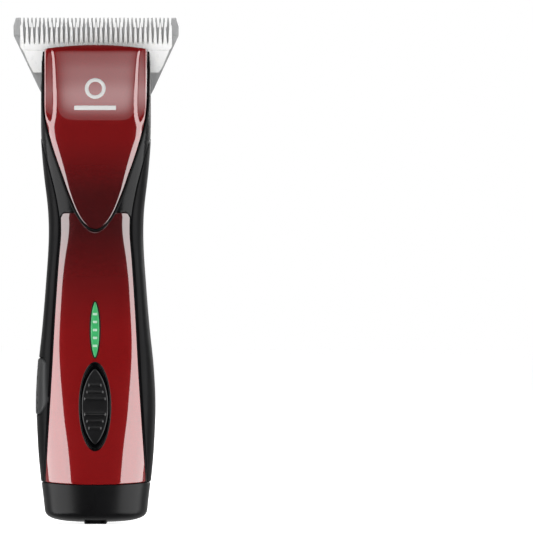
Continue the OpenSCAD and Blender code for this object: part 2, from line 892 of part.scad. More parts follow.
// Comb outline: heel, wings, two wide end guards and the row of teeth
module comb_outline() {
    guard_in = (comb_teeth + 1) / 2 * comb_pitch - 0.5;
    difference() {
        mirrored_outline([
            [20, 0], [20.2, 5.6], [20.9, 7.4], [22.2, 10], [wing - 0.1, 31.1], [wing, 32.5],
            [wing, 35], [wing - 0.9, 38.1], [wing - 1.1, blade_len], [0.1, blade_len]
        ]);
        for (i = [0:comb_teeth]) {
            x = (i - comb_teeth / 2) * comb_pitch;
            polygon([[x - (comb_pitch - tooth_tip) / 2, blade_len + 1], [x - 0.2, blade_len - comb_gap],
                     [x + 0.2, blade_len - comb_gap], [x + (comb_pitch - tooth_tip) / 2, blade_len + 1]]);
        }
    }
}

module comb_blade() {
    color("#b5b8ba") blade_frame() difference() {
        intersection() {
            blade_plate(-comb_t, 0) comb_outline();
            // ground thinner towards the tips on the skin side
            side_prism() polygon([[-comb_t, -1], [0, -1], [0, 27], [-1.6, blade_len], [-1.8, blade_len + 1],
                                  [-comb_t, blade_len + 1]]);
        }
        for (s = [-1, 1]) {
            along_y(s * 7, -4, 6.5, 1.45, 6);
            along_y(s * 7, -1.3, 6.5, 2.4, 2);
            // step across each shoulder
            translate([s * (wing + 2.5) - 5, -comb_t - 1, 31]) cube([10, 1.25, 0.45]);
        }
    }
}

module cutter_outline() {
    half = (cutter_gaps - 1) / 2 * cutter_pitch + 1.65;
    difference() {
        mirrored_outline([
            [12.5, 11.6], [13, 12], [13, cutter_low], [24.2, cutter_low], [25.7, 19.9], [half - 0.9, 26.2],
            [half, 27.5], [half, 35.2], [half - 0.7, cutter_tip], [0.1, cutter_tip]
        ]);
        for (i = [0:cutter_gaps - 1]) {
            x = (i - (cutter_gaps - 1) / 2) * cutter_pitch;
            polygon([[x - 0.75, cutter_tip + 0.5], [x - 0.28, 28.9], [x, 28.5], [x + 0.28, 28.9],
                     [x + 0.75, cutter_tip + 0.5]]);
        }
        translate([-1.95, 10]) square([3.9, 8.6]);
    }
}

module cutter_blade() {
    color("#ececea") blade_frame() intersection() {
        blade_plate(-5, -comb_t - 0.02) cutter_outline();
        side_prism() polygon([
            [-comb_t, 0], [-4.6, 0], [-4.6, 25.8], [-5, 26.4], [-5, 29.6],
            [-3.5, cutter_tip], [-3.3, cutter_tip + 1], [-comb_t, cutter_tip + 1]
        ]);
    }
}

// Steel shoe on the cutter's heel with the slot for the drive lever's finger
module cutter_drive_plate() {
    color("#a9acaf") blade_frame() difference() {
        translate([-4.4, -5.4, 12.4]) cube([8.8, 0.79, 6.4]);
        translate([-1.95, -7, 11]) cube([3.9, 4, 7.6]);
    }
}

module blade_socket() {
    color("#9a9da0") blade_frame() difference() {
        union() {
            translate([-10.4, -3.1, 0.4]) cube([20.8, 0.48, 10.9]);
            for (s = [-1, 1]) {
                translate([s * 10.1 - 0.3, -5.6, 0.4]) cube([0.6, 2.9, 10.4]);
                translate([s * 7.7 - 2.7, -5.6, 0.4]) cube([5.4, 0.55, 10.4]);
            }
        }
        for (s = [-1, 1]) along_y(s * 7, -3.5, 6.5, 1.3, 2);
    }
}

module blade_screws() {
    color("#85888b") blade_frame() for (s = [-1, 1]) difference() {
        union() {
            along_y(s * 7, -3.08, 6.5, 1.28, 1.9);
            along_y(s * 7, -1.28, 6.5, 2.3, 1.18);
        }
        translate([s * 7 - 2.5, -0.6, 6.1]) cube([5, 2, 0.8]);
    }
}

// Two leaves that press the cutter on the comb
module tension_springs() {
    color("#c3c6c8") blade_frame() for (s = [-1, 1]) {
        translate([s * 7.2 - 1.6, -6.15, 1.2]) cube([3.2, 0.5, 14]);
        translate([s * 7.2 - 1.6, -6.15, 15.1]) cube([3.2, 1.52, 2.2]);
    }
}

front_housing();
rear_housing();
side_grip_left();
side_grip_right();
front_panel();
nose_cover();
nose_cover_seal();
nose_badge();
indicator_lens();
switch_bezel();
switch_pad();
switch_knob();
slide_switch();
main_board();
board_chips();
indicator_leds();
contact_block();
contact_springs();
battery_case();
battery_cap();
contact_rail();
battery_cells();
battery_terminals();
charge_contacts();
battery_catch();
release_button();
release_button_guide();
release_spring();
drive_frame();
drive_lever();
lever_pivot_pin();
motor_can();
motor_magnets();
motor_end_cap();
motor_bearings();
rotor_shaft();
rotor_core();
commutator();
eccentric_cam();
cam_bearing();
motor_leads();
motor_screws();
housing_screws();
hinge_base();
hinge_pin();
hinge_screws();
blade_tongue();
blade_lock_button();
lock_spring();
comb_blade();
cutter_blade();
cutter_drive_plate();
blade_socket();
tension_springs();
blade_screws();
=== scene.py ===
"""Cordless hair clipper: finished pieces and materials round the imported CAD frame.

The frame is in metres, with +Z up and the front towards -Y. The pieces are worked out in millimetres on the
CAD's own body surface, and link() scales them.
"""

import itertools
import math

import bmesh
import bpy
import numpy as np
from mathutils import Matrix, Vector, kdtree


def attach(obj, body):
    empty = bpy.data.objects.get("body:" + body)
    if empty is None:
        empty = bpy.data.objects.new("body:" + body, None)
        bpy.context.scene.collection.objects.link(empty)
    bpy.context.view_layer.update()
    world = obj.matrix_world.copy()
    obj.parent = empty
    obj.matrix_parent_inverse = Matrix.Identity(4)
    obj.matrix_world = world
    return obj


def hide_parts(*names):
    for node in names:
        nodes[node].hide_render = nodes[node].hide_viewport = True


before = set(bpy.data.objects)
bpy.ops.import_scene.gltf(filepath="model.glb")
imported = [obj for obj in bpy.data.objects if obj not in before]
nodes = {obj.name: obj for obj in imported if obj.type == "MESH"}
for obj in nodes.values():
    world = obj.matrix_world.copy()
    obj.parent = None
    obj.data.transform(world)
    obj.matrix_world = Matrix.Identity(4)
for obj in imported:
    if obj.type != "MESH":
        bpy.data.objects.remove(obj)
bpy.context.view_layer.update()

MM = 0.001

# ---------------- body surface, as in the CAD, in millimetres

WIDTHS = [[0, 19.3], [8, 20], [16, 20.95], [30, 22.2], [46, 22.7], [60, 22.05], [75, 20.5], [90, 19.25],
          [108, 18.1], [120, 18.3], [135, 19.95], [148, 20.95], [160, 21.1], [172, 20.95], [190, 20.2]]
FRONTS = [[0, 16], [16, 17.2], [32, 18.6], [46, 19], [60, 18.7], [78, 17.3], [95, 15.7], [110, 15.2],
          [124, 15.5], [140, 16.8], [154, 17], [164, 15], [174, 11.2], [184, 6.8], [194, 2.4]]
REARS = [[0, 15.6], [16, 16.8], [32, 18.1], [46, 18.5], [60, 18.3], [78, 17.4], [95, 16.3], [110, 15.9],
         [125, 16.2], [140, 16.9], [152, 16.9], [165, 16], [190, 14]]
SQUARES = [[0, 2.3], [16, 2.35], [30, 2.5], [40, 2.75], [50, 3], [60, 3.4], [73, 3.95], [90, 3.95],
           [101, 3.6], [111, 3.05], [118, 2.95], [126, 3], [134, 3.4], [142, 4], [150, 4.8], [158, 5],
           [190, 5]]
COVER = [[132.3, 12.4], [142.2, 15.9], [152, 18.7], [159.4, 19.85], [167, 20.05], [190, 20.05]]
PANEL = [[10, 19.6], [19.5, 19.2], [39.4, 17.9], [59.4, 16.65], [81.2, 15.45], [100.9, 14.15],
         [110.7, 13.35], [117.5, 13.4], [125, 13.6]]
GRIP = [[110, 13.9], [117.5, 13.95], [127.4, 15.6], [135.3, 17.6], [143.6, 19.9], [149, 21.3]]
REAR_SQUARE = 2.8
SEAM = 15.95        # between the battery cap and the housing
GAP = 0.1           # half of the line between two pieces
HOUSING_LOW = SEAM + GAP
PANEL_TOP = 119.4
COVER_LOW = 113.2
COVER_TOP = 184.0
POINT_TOP = 132.3   # the cover's lower point is a parabola up to here
POINT_SPREAD = 2.84
REAR_TOP = 152.0
GRIP_TOP = 148.5
GRIP_LEAVES = 117.5     # the grips' front edge leaves the panel here
GRIP_LINE = 0.55
HEAD_TOP = 181.6
SWITCH_Z = 45.2
LENS_Z = 74.6
WALL = 1.6
FAR = -30           # outside the body


def hermite(table, z):
    """A smooth curve through a table's (height, value) stations."""
    xs = [p[0] for p in table]
    ys = [p[1] for p in table]
    n = len(xs)

    def slope(i):
        lo, hi = max(i - 1, 0), min(i + 1, n - 1)
        return (ys[hi] - ys[lo]) / (xs[hi] - xs[lo])

    i = 0
    while i < n - 2 and z >= xs[i + 1]:
        i += 1
    h = xs[i + 1] - xs[i]
    u = min(max((z - xs[i]) / h, 0), 1)
    return (ys[i] * (2 * u ** 3 - 3 * u ** 2 + 1) + slope(i) * h * (u ** 3 - 2 * u ** 2 + u)
            + ys[i + 1] * (3 * u ** 2 - 2 * u ** 3) + slope(i + 1) * h * (u ** 3 - u ** 2))


FINE = np.arange(-2, 196, 0.25)


def curve(table):
    """A table as a function of height that also takes arrays."""
    fine = np.array([hermite(table, z) for z in FINE])
    return lambda z: np.interp(z, FINE, fine)


half_w, front_d, rear_d, front_square = curve(WIDTHS), curve(FRONTS), curve(REARS), curve(SQUARES)
cover_table, panel_half, grip_table = curve(COVER), curve(PANEL), curve(GRIP)


def skin(z, a, off):
    """Points on the body at heights z and section angles a (degrees), off below the surface."""
    z, a, off = np.broadcast_arrays(np.asarray(z, float), np.asarray(a, float), np.asarray(off, float))
    c, s = np.cos(np.radians(a)), np.sin(np.radians(a))
    front = s < 0
    power = 2 / np.where(front, front_square(z), REAR_SQUARE)
    depth = np.where(front, front_d(z), rear_d(z))
    x = (half_w(z) - off) * np.sign(c) * np.abs(c) ** power
    y = (depth - off) * np.sign(s) * np.abs(s) ** power
    return np.stack([x, y, z], -1)


def front_angle(x, z):
    """The section angle on the right of the front at a distance x from the middle."""
    share = np.clip(np.abs(x) / half_w(z), 0, 1)
    return -np.degrees(np.arccos(share ** (front_square(z) / 2)))


def rear_angle(x, z):
    """The same on the back."""
    share = np.clip(np.abs(x) / half_w(z), 0, 1)
    return np.degrees(np.arccos(share ** (REAR_SQUARE / 2)))


def front_y(x, z, off=0.0):
    """The front surface's y at x and z, off below the surface."""
    n = front_square(z)
    share = np.minimum(np.abs(x) / (half_w(z) - off), 1)
    return -(front_d(z) - off) * (1 - share ** n) ** (1 / n)


def cover_half(z):
    """Half-width of the nose cover."""
    return np.where(z < POINT_TOP, POINT_SPREAD * np.sqrt(np.maximum(z - COVER_LOW, 0)), cover_table(z))


def cover_v(x):
    """Height of the nose cover's lower edge."""
    return COVER_LOW + (x / POINT_SPREAD) ** 2


def grip_in(z):
    """Distance of the grips' front edge from the middle."""
    return np.where(z < GRIP_LEAVES, panel_half(z) + GRIP_LINE, grip_table(z))


# ---------------- mesh helpers

EDGE = (0.0, 0.05, 0.13, 0.24, 0.38, 0.55)   # insets of the columns and rows that round an edge
EDGE_ROOM = 2.4     # a row shorter than this many times the last inset has its insets scaled down


def spread(low, high, step, edge_low=True, edge_high=True):
    """Values from low to high about step apart, with the edge insets at the ends that ask for them."""
    size = high - low
    room = min(1.0, size / (EDGE_ROOM * EDGE[-1]))
    first = [e * room for e in EDGE] if edge_low else [0.0]
    last = [size - e * room for e in reversed(EDGE)] if edge_high else [size]
    count = max(2, int(round((last[0] - first[-1]) / step)) + 1)
    middle = list(np.linspace(first[-1], last[0], count))[1:-1]
    return [low + v for v in first + middle + last]


def arc_row(z, a0, a1, places):
    """Section angles from a0 to a1 at the given shares of the way, by length along the surface."""
    a = np.linspace(a0, a1, 400)
    p = skin(z, a, 0)
    length = np.concatenate([[0], np.cumsum(np.linalg.norm(np.diff(p, axis=0), axis=1))])
    return np.interp(np.asarray(places) * length[-1], length, a), length[-1]


def fillet(d, radius):
    """How far a rounded edge of that radius drops at a distance d inside it."""
    t = np.clip(radius - d, 0, radius)
    return radius - np.sqrt(np.maximum(radius ** 2 - t ** 2, 0))


def dense(points, step):
    """A line of points filled up, so that they are about a step apart."""
    filled = []
    for p, q in zip(points[:-1], points[1:]):
        count = max(1, int(np.linalg.norm(q - p) / step))
        filled += [p + (q - p) * k / count for k in range(count)]
    return np.array(filled)


def distances(points, border):
    """Distance from each point to the nearest point of a border."""
    tree = kdtree.KDTree(len(border))
    for i, p in enumerate(border):
        tree.insert(p, i)
    tree.balance()
    return np.array([tree.find(p)[2] for p in points])


def border_distance(points):
    """Distance from each point of a grid to the grid's border."""
    border = np.concatenate([points[0], points[1:, -1], points[-1, ::-1][1:], points[::-1, 0][1:]])
    return distances(points.reshape(-1, 3), dense(border, 0.08)).reshape(points.shape[:2])


def add(name, data):
    """A new object in the scene."""
    obj = bpy.data.objects.new(name, data)
    bpy.context.scene.collection.objects.link(obj)
    return obj


def link(name, vertices, faces, smooth=True):
    """A new object from points in millimetres, with its faces turned outwards."""
    mesh = bpy.data.meshes.new(name)
    mesh.from_pydata([tuple(v) for v in np.asarray(vertices, float) * MM], [], faces)
    work = bmesh.new()
    work.from_mesh(mesh)
    bmesh.ops.remove_doubles(work, verts=work.verts, dist=2e-6)
    bmesh.ops.recalc_face_normals(work, faces=work.faces)
    work.to_mesh(mesh)
    work.free()
    if smooth:
        mesh.shade_smooth()
    else:
        mesh.shade_flat()
    return add(name, mesh)


def sharp(obj, angle):
    """Smooth shading that keeps edges sharper than an angle."""
    obj.data.set_sharp_from_angle(angle=math.radians(angle))
    return obj


def plate(name, outer, inner):
    """A closed piece between two grids of points."""
    rows, cols = outer.shape[:2]
    size = rows * cols
    faces = []
    for i in range(rows - 1):
        for j in range(cols - 1):
            q = [i * cols + j, i * cols + j + 1, (i + 1) * cols + j + 1, (i + 1) * cols + j]
            faces.append(q)
            faces.append([size + k for k in reversed(q)])
    ring = ([(0, j) for j in range(cols)] + [(i, cols - 1) for i in range(1, rows)]
            + [(rows - 1, j) for j in range(cols - 2, -1, -1)] + [(i, 0) for i in range(rows - 2, 0, -1)])
    for (i, j), (k, m) in zip(ring, ring[1:] + ring[:1]):
        faces.append([i * cols + j, size + i * cols + j, size + k * cols + m, k * cols + m])
    return link(name, np.concatenate([outer.reshape(-1, 3), inner.reshape(-1, 3)]), faces)


def skin_plate(name, z, a, off, inner_off, radius, shape=None):
    """A shell on the body's surface: height and angle grids, outer and inner depth, rounded all round.
    shape(x, z) adds its own depth."""
    base = skin(z, a, 0)
    depth = off + fillet(border_distance(base), radius)
    if shape is not None:
        depth = depth + shape(base[..., 0], base[..., 2])
    return plate(name, skin(z, a, depth), skin(z, a, np.full_like(z, inner_off)))


def bands(rings, count, wrap=False):
    """Faces between rings of count points each. wrap also joins the last ring to the first."""
    faces = []
    for r in range(rings if wrap else rings - 1):
        for k in range(count):
            n, m = (k + 1) % count, (r + 1) % rings
            faces.append([r * count + k, r * count + n, m * count + n, m * count + k])
    return faces


def tube_loop(name, path, radius, sides=10, closed=True):
    """A round bead along a path of points."""
    path = [Vector(p) for p in path]
    count = len(path)
    vertices = []
    for i, p in enumerate(path):
        before = path[(i - 1) % count] if closed or i else path[i]
        after = path[(i + 1) % count] if closed or i < count - 1 else path[i]
        t = (after - before).normalized()
        side = t.cross(Vector((0, 1, 0))).normalized()
        up = side.cross(t).normalized()
        for k in range(sides):
            u = 2 * math.pi * k / sides
            vertices.append(p + side * radius * math.cos(u) + up * radius * math.sin(u))
    faces = bands(count, sides, wrap=closed)
    if not closed:
        faces.append(list(range(sides)))
        faces.append([(count - 1) * sides + k for k in reversed(range(sides))])
    return link(name, vertices, faces)


def cut_prism(obj, outline, axis, low, high):
    """Cut a prism out of a closed piece. Its outline is drawn across the axis (0 for x, 1 for y)."""
    count = len(outline)
    vertices = [((end, a, b) if axis == 0 else (a, end, b)) for end in (low, high) for a, b in outline]
    faces = [list(range(count)), [count + k for k in reversed(range(count))]]
    faces += [[k, count + k, count + (k + 1) % count, (k + 1) % count] for k in range(count)]
    cutter = link("cutter", vertices, faces, smooth=False)
    modifier = obj.modifiers.new("opening", "BOOLEAN")
    modifier.operation = "DIFFERENCE"
    modifier.solver = "EXACT"
    modifier.object = cutter
    bpy.context.view_layer.update()
    shaped = bpy.data.meshes.new_from_object(obj.evaluated_get(bpy.context.evaluated_depsgraph_get()))
    obj.modifiers.clear()
    obj.data = shaped
    bpy.data.objects.remove(cutter)
    return sharp(obj, 40)


def mirror_x(obj, name):
    """A copy of a piece on the other side of the body."""
    copy = add(name, obj.data.copy())
    for v in copy.data.vertices:
        v.co.x = -v.co.x
    copy.data.flip_normals()
    return copy


def joined(objects, name):
    """Several objects made into one piece."""
    bpy.ops.object.select_all(action="DESELECT")
    for obj in objects:
        obj.select_set(True)
    bpy.context.view_layer.objects.active = objects[0]
    bpy.ops.object.join()
    objects[0].name = name
    return objects[0]


def place(obj, body, material, slot, *replaced):
    """Finish a piece: its material, the body it moves with and the CAD nodes it stands for. The slot is not
    used.
    """
    obj.data.materials.clear()
    obj.data.materials.append(material)
    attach(obj, body)
    if replaced:
        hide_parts(*replaced)
    return obj


# ---------------- materials


class Shader:
    """A Principled material and short calls for the nodes that feed it."""

    def __init__(self, name, **inputs):
        self.material = bpy.data.materials.new(name)
        self.material.use_nodes = True
        self.tree = self.material.node_tree
        self.shader = self.tree.nodes["Principled BSDF"]
        self.coords = self.tree.nodes.new("ShaderNodeTexCoord").outputs["Object"]
        for key, value in inputs.items():
            self.shader.inputs[key.replace("_", " ")].default_value = value

    def node(self, kind, **settings):
        made = self.tree.nodes.new(kind)
        for key, value in settings.items():
            setattr(made, key, value)
        return made

    def join(self, a, b):
        self.tree.links.new(a, b)

    def noise(self, scale, detail=4, rough=0.55, stretch=(1, 1, 1)):
        mapping = self.node("ShaderNodeMapping")
        mapping.inputs["Scale"].default_value = stretch
        self.join(self.coords, mapping.inputs["Vector"])
        texture = self.node("ShaderNodeTexNoise")
        texture.inputs["Scale"].default_value = scale
        texture.inputs["Detail"].default_value = detail
        texture.inputs["Roughness"].default_value = rough
        self.join(mapping.outputs["Vector"], texture.inputs["Vector"])
        return texture.outputs["Fac"]

    def remap(self, value, low, high, start=0.3, stop=0.7):
        span = self.node("ShaderNodeMapRange")
        for key, number in (("From Min", start), ("From Max", stop), ("To Min", low), ("To Max", high)):
            span.inputs[key].default_value = number
        self.join(value, span.inputs["Value"])
        return span.outputs["Result"]

    def ramp(self, value, stops):
        ramp = self.node("ShaderNodeValToRGB")
        elements = ramp.color_ramp.elements
        while len(elements) < len(stops):
            elements.new(0.5)
        for element, (at, colour) in zip(elements, stops):
            element.position = at
            element.color = (*colour, 1)
        self.join(value, ramp.inputs["Fac"])
        return ramp.outputs["Color"]

    def bump(self, value, strength, distance):
        bump = self.node("ShaderNodeBump")
        bump.inputs["Strength"].default_value = strength
        bump.inputs["Distance"].default_value = distance
        self.join(value, bump.inputs["Height"])
        self.join(bump.outputs["Normal"], self.shader.inputs["Normal"])

    def colour(self, value):
        self.join(value, self.shader.inputs["Base Color"])

    def rough(self, value):
        self.join(value, self.shader.inputs["Roughness"])


def shades(colour, vary):
    """A darker and a lighter shade of a colour."""
    return [tuple(c * k for c in colour) for k in (1 - vary, 1 + vary)]


def moulded(name, colour, rough, grain=2200, depth=0.00002, vary=0.12, specular=0.5, strength=0.5):
    """Moulded plastic or rubber with a fine spark-eroded grain and a little handling shine."""
    s = Shader(name, Specular_IOR_Level=specular)
    dark, light = shades(colour, vary)
    s.colour(s.ramp(s.noise(60), [(0.3, dark), (0.7, light)]))
    s.rough(s.remap(s.noise(90, 3), rough - 0.05, rough + 0.07))
    s.bump(s.noise(grain, 2, 0.6), strength, depth)
    return s.material


def metal(name, colour, rough, stretch=(1, 1, 1), scale=900, vary=0.08, bump=0.12):
    """Machined, plated or drawn metal."""
    s = Shader(name, Metallic=1.0)
    dark, light = shades(colour, vary)
    s.colour(s.ramp(s.noise(70), [(0.3, dark), (0.7, light)]))
    streak = s.noise(scale, 3, 0.6, stretch)      # fine lines where the scale is stretched
    s.rough(s.remap(streak, rough - 0.06, rough + 0.1))
    s.bump(streak, bump, 0.00002)
    return s.material


def red_paint_and_shade(name):
    """Deep red metallic paint with fine flake under a clear coat. Its colour is darkened towards the waist as
    painted shade.
    """
    s = Shader(name, Metallic=0.15, Specular_IOR_Level=0.1, Coat_Weight=1.0, Coat_Roughness=0.03,
               Coat_IOR=2.1)
    split = s.node("ShaderNodeSeparateXYZ")
    s.join(s.coords, split.inputs["Vector"])
    height = s.remap(split.outputs["Z"], 0, 1, 0.016, 0.184)
    # painted shade: the red darkens from 0.34 to 0.78 of the way up and is darkest at the waist, where the
    # body is shaded
    waist_shade_reds = ((0.0, 0.26), (0.34, 0.25), (0.48, 0.13), (0.58, 0.06), (0.66, 0.07), (0.78, 0.20), (1.0, 0.24))
    waist_shaded_red = s.ramp(height, [(at, (red_part, 0.003, 0.004)) for at, red_part in waist_shade_reds])
    flake = s.node("ShaderNodeTexVoronoi")
    flake.inputs["Scale"].default_value = 5200
    s.join(s.coords, flake.inputs["Vector"])
    sparkle = s.remap(flake.outputs["Distance"], 1.35, 0.85, 0.0, 0.6)
    mix = s.node("ShaderNodeMix", data_type="RGBA", blend_type="MULTIPLY")
    mix.inputs["Factor"].default_value = 1.0
    s.join(waist_shaded_red, mix.inputs["A"])
    s.join(sparkle, mix.inputs["B"])
    s.colour(mix.outputs["Result"])
    s.rough(s.remap(s.noise(120), 0.3, 0.38))
    s.bump(s.noise(260, 2, 0.4), 0.02, 0.00002)
    return s.material


def blade_steel(name):
    """Ground tool steel with fine lines along the blade and faint oil marks."""
    s = Shader(name, Metallic=0.55)
    s.colour(s.ramp(s.noise(45, 5), [(0.3, (0.50, 0.505, 0.51)), (0.7, (0.60, 0.60, 0.60))]))
    lines = s.noise(1500, 3, 0.6, (1, 1, 0.04))
    s.rough(s.remap(lines, 0.36, 0.5))
    s.bump(lines, 0.1, 0.00002)
    return s.material


def ceramic(name):
    """Fired white zirconia: dense, slightly translucent, with a ground sheen."""
    s = Shader(name, Specular_IOR_Level=0.6, Subsurface_Weight=0.12, Subsurface_Scale=0.0008)
    s.shader.inputs["Subsurface Radius"].default_value = (1.0, 0.95, 0.85)
    s.colour(s.ramp(s.noise(80, 5), [(0.3, (0.88, 0.88, 0.87)), (0.7, (0.93, 0.93, 0.925))]))
    s.rough(s.remap(s.noise(400, 3), 0.24, 0.36))
    s.bump(s.noise(1800, 2), 0.06, 0.00002)
    return s.material


def lit_lens_green(name):
    """Tinted clear plastic, with the glow of the lit lens painted into its bright green."""
    s = Shader(name, Specular_IOR_Level=0.25, Coat_Weight=0.3, Coat_Roughness=0.05)
    # painted glow: the bright green stands in for the light of the gauge's LEDs behind the lens
    s.colour(s.ramp(s.noise(150, 2), [(0.3, (0.035, 0.36, 0.11)), (0.7, (0.06, 0.46, 0.16))]))
    s.rough(s.remap(s.noise(300), 0.12, 0.2))
    return s.material


black = moulded("black_housing", (0.0045, 0.0045, 0.005), 0.22, depth=0.00001, specular=0.2, strength=0.12)
grip_rubber = moulded("grip_rubber", (0.0035, 0.0035, 0.004), 0.34, grain=3000, specular=0.07, strength=0.25)
cap_black = moulded("cap_black", (0.005, 0.005, 0.0055), 0.3, depth=0.000012, specular=0.2, strength=0.2)
bezel_black = moulded("bezel_black", (0.0015, 0.0015, 0.002), 0.12, specular=0.25, strength=0.04)
pad_black = moulded("pad_black", (0.006, 0.006, 0.0065), 0.3, specular=0.45, strength=0.2)
button_grey = moulded("button_grey", (0.03, 0.031, 0.032), 0.34, specular=0.22, strength=0.25)
seal_black = moulded("seal_black", (0.0015, 0.0015, 0.0015), 0.5, specular=0.15, strength=0.15)
badge_grey = moulded("badge_grey", (0.66, 0.66, 0.65), 0.4, vary=0.04, strength=0.08)
red = red_paint_and_shade("red_paint_and_shade")
steel = blade_steel("blade_steel")
white_ceramic = ceramic("cutter_ceramic")
green = lit_lens_green("gauge_green_glow")
# painted glow: the lit gauge marks are a plain pale colour, with no lamp
mark_glow = moulded("gauge_mark", (0.42, 0.66, 0.50), 0.3, vary=0.05, strength=0.05)
bright = metal("bright_steel", (0.62, 0.63, 0.64), 0.22, (1, 1, 0.1))
screw_steel = metal("screw_steel", (0.30, 0.31, 0.32), 0.34)
spring_steel = metal("spring_steel", (0.45, 0.46, 0.47), 0.3)
frame_metal = metal("frame_metal", (0.48, 0.49, 0.51), 0.42)
copper = metal("copper", (0.72, 0.38, 0.16), 0.3)
winding = metal("winding", (0.40, 0.16, 0.06), 0.42, (1, 1, 12), 500, bump=0.5)
lever_plastic = moulded("lever_plastic", (0.06, 0.06, 0.065), 0.45)
magnet_grey = moulded("magnet_grey", (0.05, 0.05, 0.052), 0.6)
board_green = moulded("board_green", (0.012, 0.11, 0.035), 0.3, grain=600)
led_pale = moulded("led_pale", (0.6, 0.7, 0.5), 0.25, vary=0.03)
cell_wrap = moulded("cell_wrap", (0.02, 0.10, 0.28), 0.28)
lead_red = moulded("lead_red", (0.30, 0.01, 0.01), 0.4)

CAD_FINISH = {
    black: ["contact_block", "release_button_guide", "motor_end_cap", "board_chips", "battery_case"],
    steel: ["comb_blade", "blade_socket", "cutter_drive_plate", "tension_springs"],
    white_ceramic: ["cutter_blade"],
    bright: ["rotor_shaft", "motor_bearings", "cam_bearing", "lever_pivot_pin", "hinge_pin", "motor_can",
             "charge_contacts", "slide_switch"],
    screw_steel: ["housing_screws", "hinge_screws", "motor_screws", "blade_screws"],
    spring_steel: ["release_spring", "lock_spring", "battery_catch"],
    frame_metal: ["drive_frame", "hinge_base", "blade_tongue"],
    lever_plastic: ["drive_lever", "switch_knob"],
    copper: ["commutator", "battery_terminals", "contact_springs", "eccentric_cam"],
    winding: ["rotor_core"],
    magnet_grey: ["motor_magnets"],
    board_green: ["main_board"],
    led_pale: ["indicator_leds"],
    cell_wrap: ["battery_cells"],
    lead_red: ["motor_leads"],
    button_grey: ["blade_lock_button"],
}
for material, names in CAD_FINISH.items():
    for name in names:
        nodes[name].data.materials.clear()
        nodes[name].data.materials.append(material)


# ---------------- front panel

CAP_DIP = 0.8       # how far the seam over the cap dips in the middle of the front
DIP_HALF = 19.0     # and how far to each side
PANEL_DEEP = 1.45   # the panel's and the cover's inner face, below the body's surface
TOP_CORNER = 2.3
LOW_CORNER = 0.8
TOP_CORNER_RISE = 0.8       # the upper corners are this much flatter than round


def seam_dip(x):
    """How far the seam dips at x."""
    return CAP_DIP * (1 - np.clip(np.abs(x) / DIP_HALF, 0, 1) ** 2)


def corner(radius, d):
    """How far a corner draws an edge in, d into the corner."""
    return radius - np.sqrt(np.maximum(radius ** 2 - d ** 2, 0))


def panel_edge(z):
    """The panel's half-width, drawn in at its rounded corners."""
    rise = TOP_CORNER * TOP_CORNER_RISE
    top = np.clip(z - (PANEL_TOP - rise), 0, rise) / TOP_CORNER_RISE
    low = np.clip((HOUSING_LOW + LOW_CORNER) - z, 0, LOW_CORNER)
    return panel_half(z) - corner(TOP_CORNER, top) - corner(LOW_CORNER, low)


def rows_and_columns(zs, edges, step):
    """Height and angle grids for rows at zs, each from edges(z)[0] to edges(z)[1] in section angle. The edge
    insets keep their real size on short rows."""
    longest = max(arc_row(z, *edges(z), [0, 1])[1] for z in zs)
    columns = np.array(spread(0, longest, step)) / longest
    first, last = len(EDGE) - 1, -len(EDGE)
    middle = (columns[first:last + 1] - columns[first]) / (columns[last] - columns[first])
    z_grid, a_grid = [], []
    for z in zs:
        a0, a1 = edges(z)
        length = arc_row(z, a0, a1, [0, 1])[1]
        near = np.array(EDGE) * min(1.0, length / (EDGE_ROOM * EDGE[-1])) / length
        places = np.concatenate([near[:-1], near[-1] + middle * (1 - 2 * near[-1]), 1 - near[:-1][::-1]])
        angles, _ = arc_row(z, a0, a1, places)
        z_grid.append(np.full(len(angles), z))
        a_grid.append(angles)
    return np.array(z_grid), np.array(a_grid)


def both_sides(edge):
    """Row ends at edge(z) on the left and on the right."""
    def ends(z):
        right = front_angle(edge(z), z)
        return -180 - right, right
    return ends


def oval(half, length, count=120):
    """An oval round the switch, as x and z."""
    around = [2 * math.pi * k / count for k in range(count)]
    return np.array([(half * math.cos(u), SWITCH_Z + length * math.sin(u)) for u in around])


PANEL_WINDOW = (6.12, 17.02)     # half-width and half-height of the opening for the switch
WINDOW_IN = -5                  # the opening is cut back to this y
COVER_LINE = 0.95               # from the panel's top edge to the cover's lower point


def build_front_panel():
    zs = spread(HOUSING_LOW, PANEL_TOP, 1.3)
    z, a = rows_and_columns(zs, both_sides(panel_edge), 0.8)
    x = skin(z, a, 0)[..., 0]
    share = (z - zs[0]) / (zs[-1] - zs[0])
    top = np.minimum(PANEL_TOP, cover_v(x) - COVER_LINE - 0.25 * np.exp(-(x / 3) ** 2))
    low = HOUSING_LOW - seam_dip(x)
    obj = skin_plate("front_panel_skin", low + share * (top - low), a, 0.0, PANEL_DEEP, radius=0.4)
    cut_prism(obj, oval(*PANEL_WINDOW), 1, FAR, WINDOW_IN)
    place(obj, "housing", red, "red_cover", "front_panel")


build_front_panel()


# ---------------- nose cover

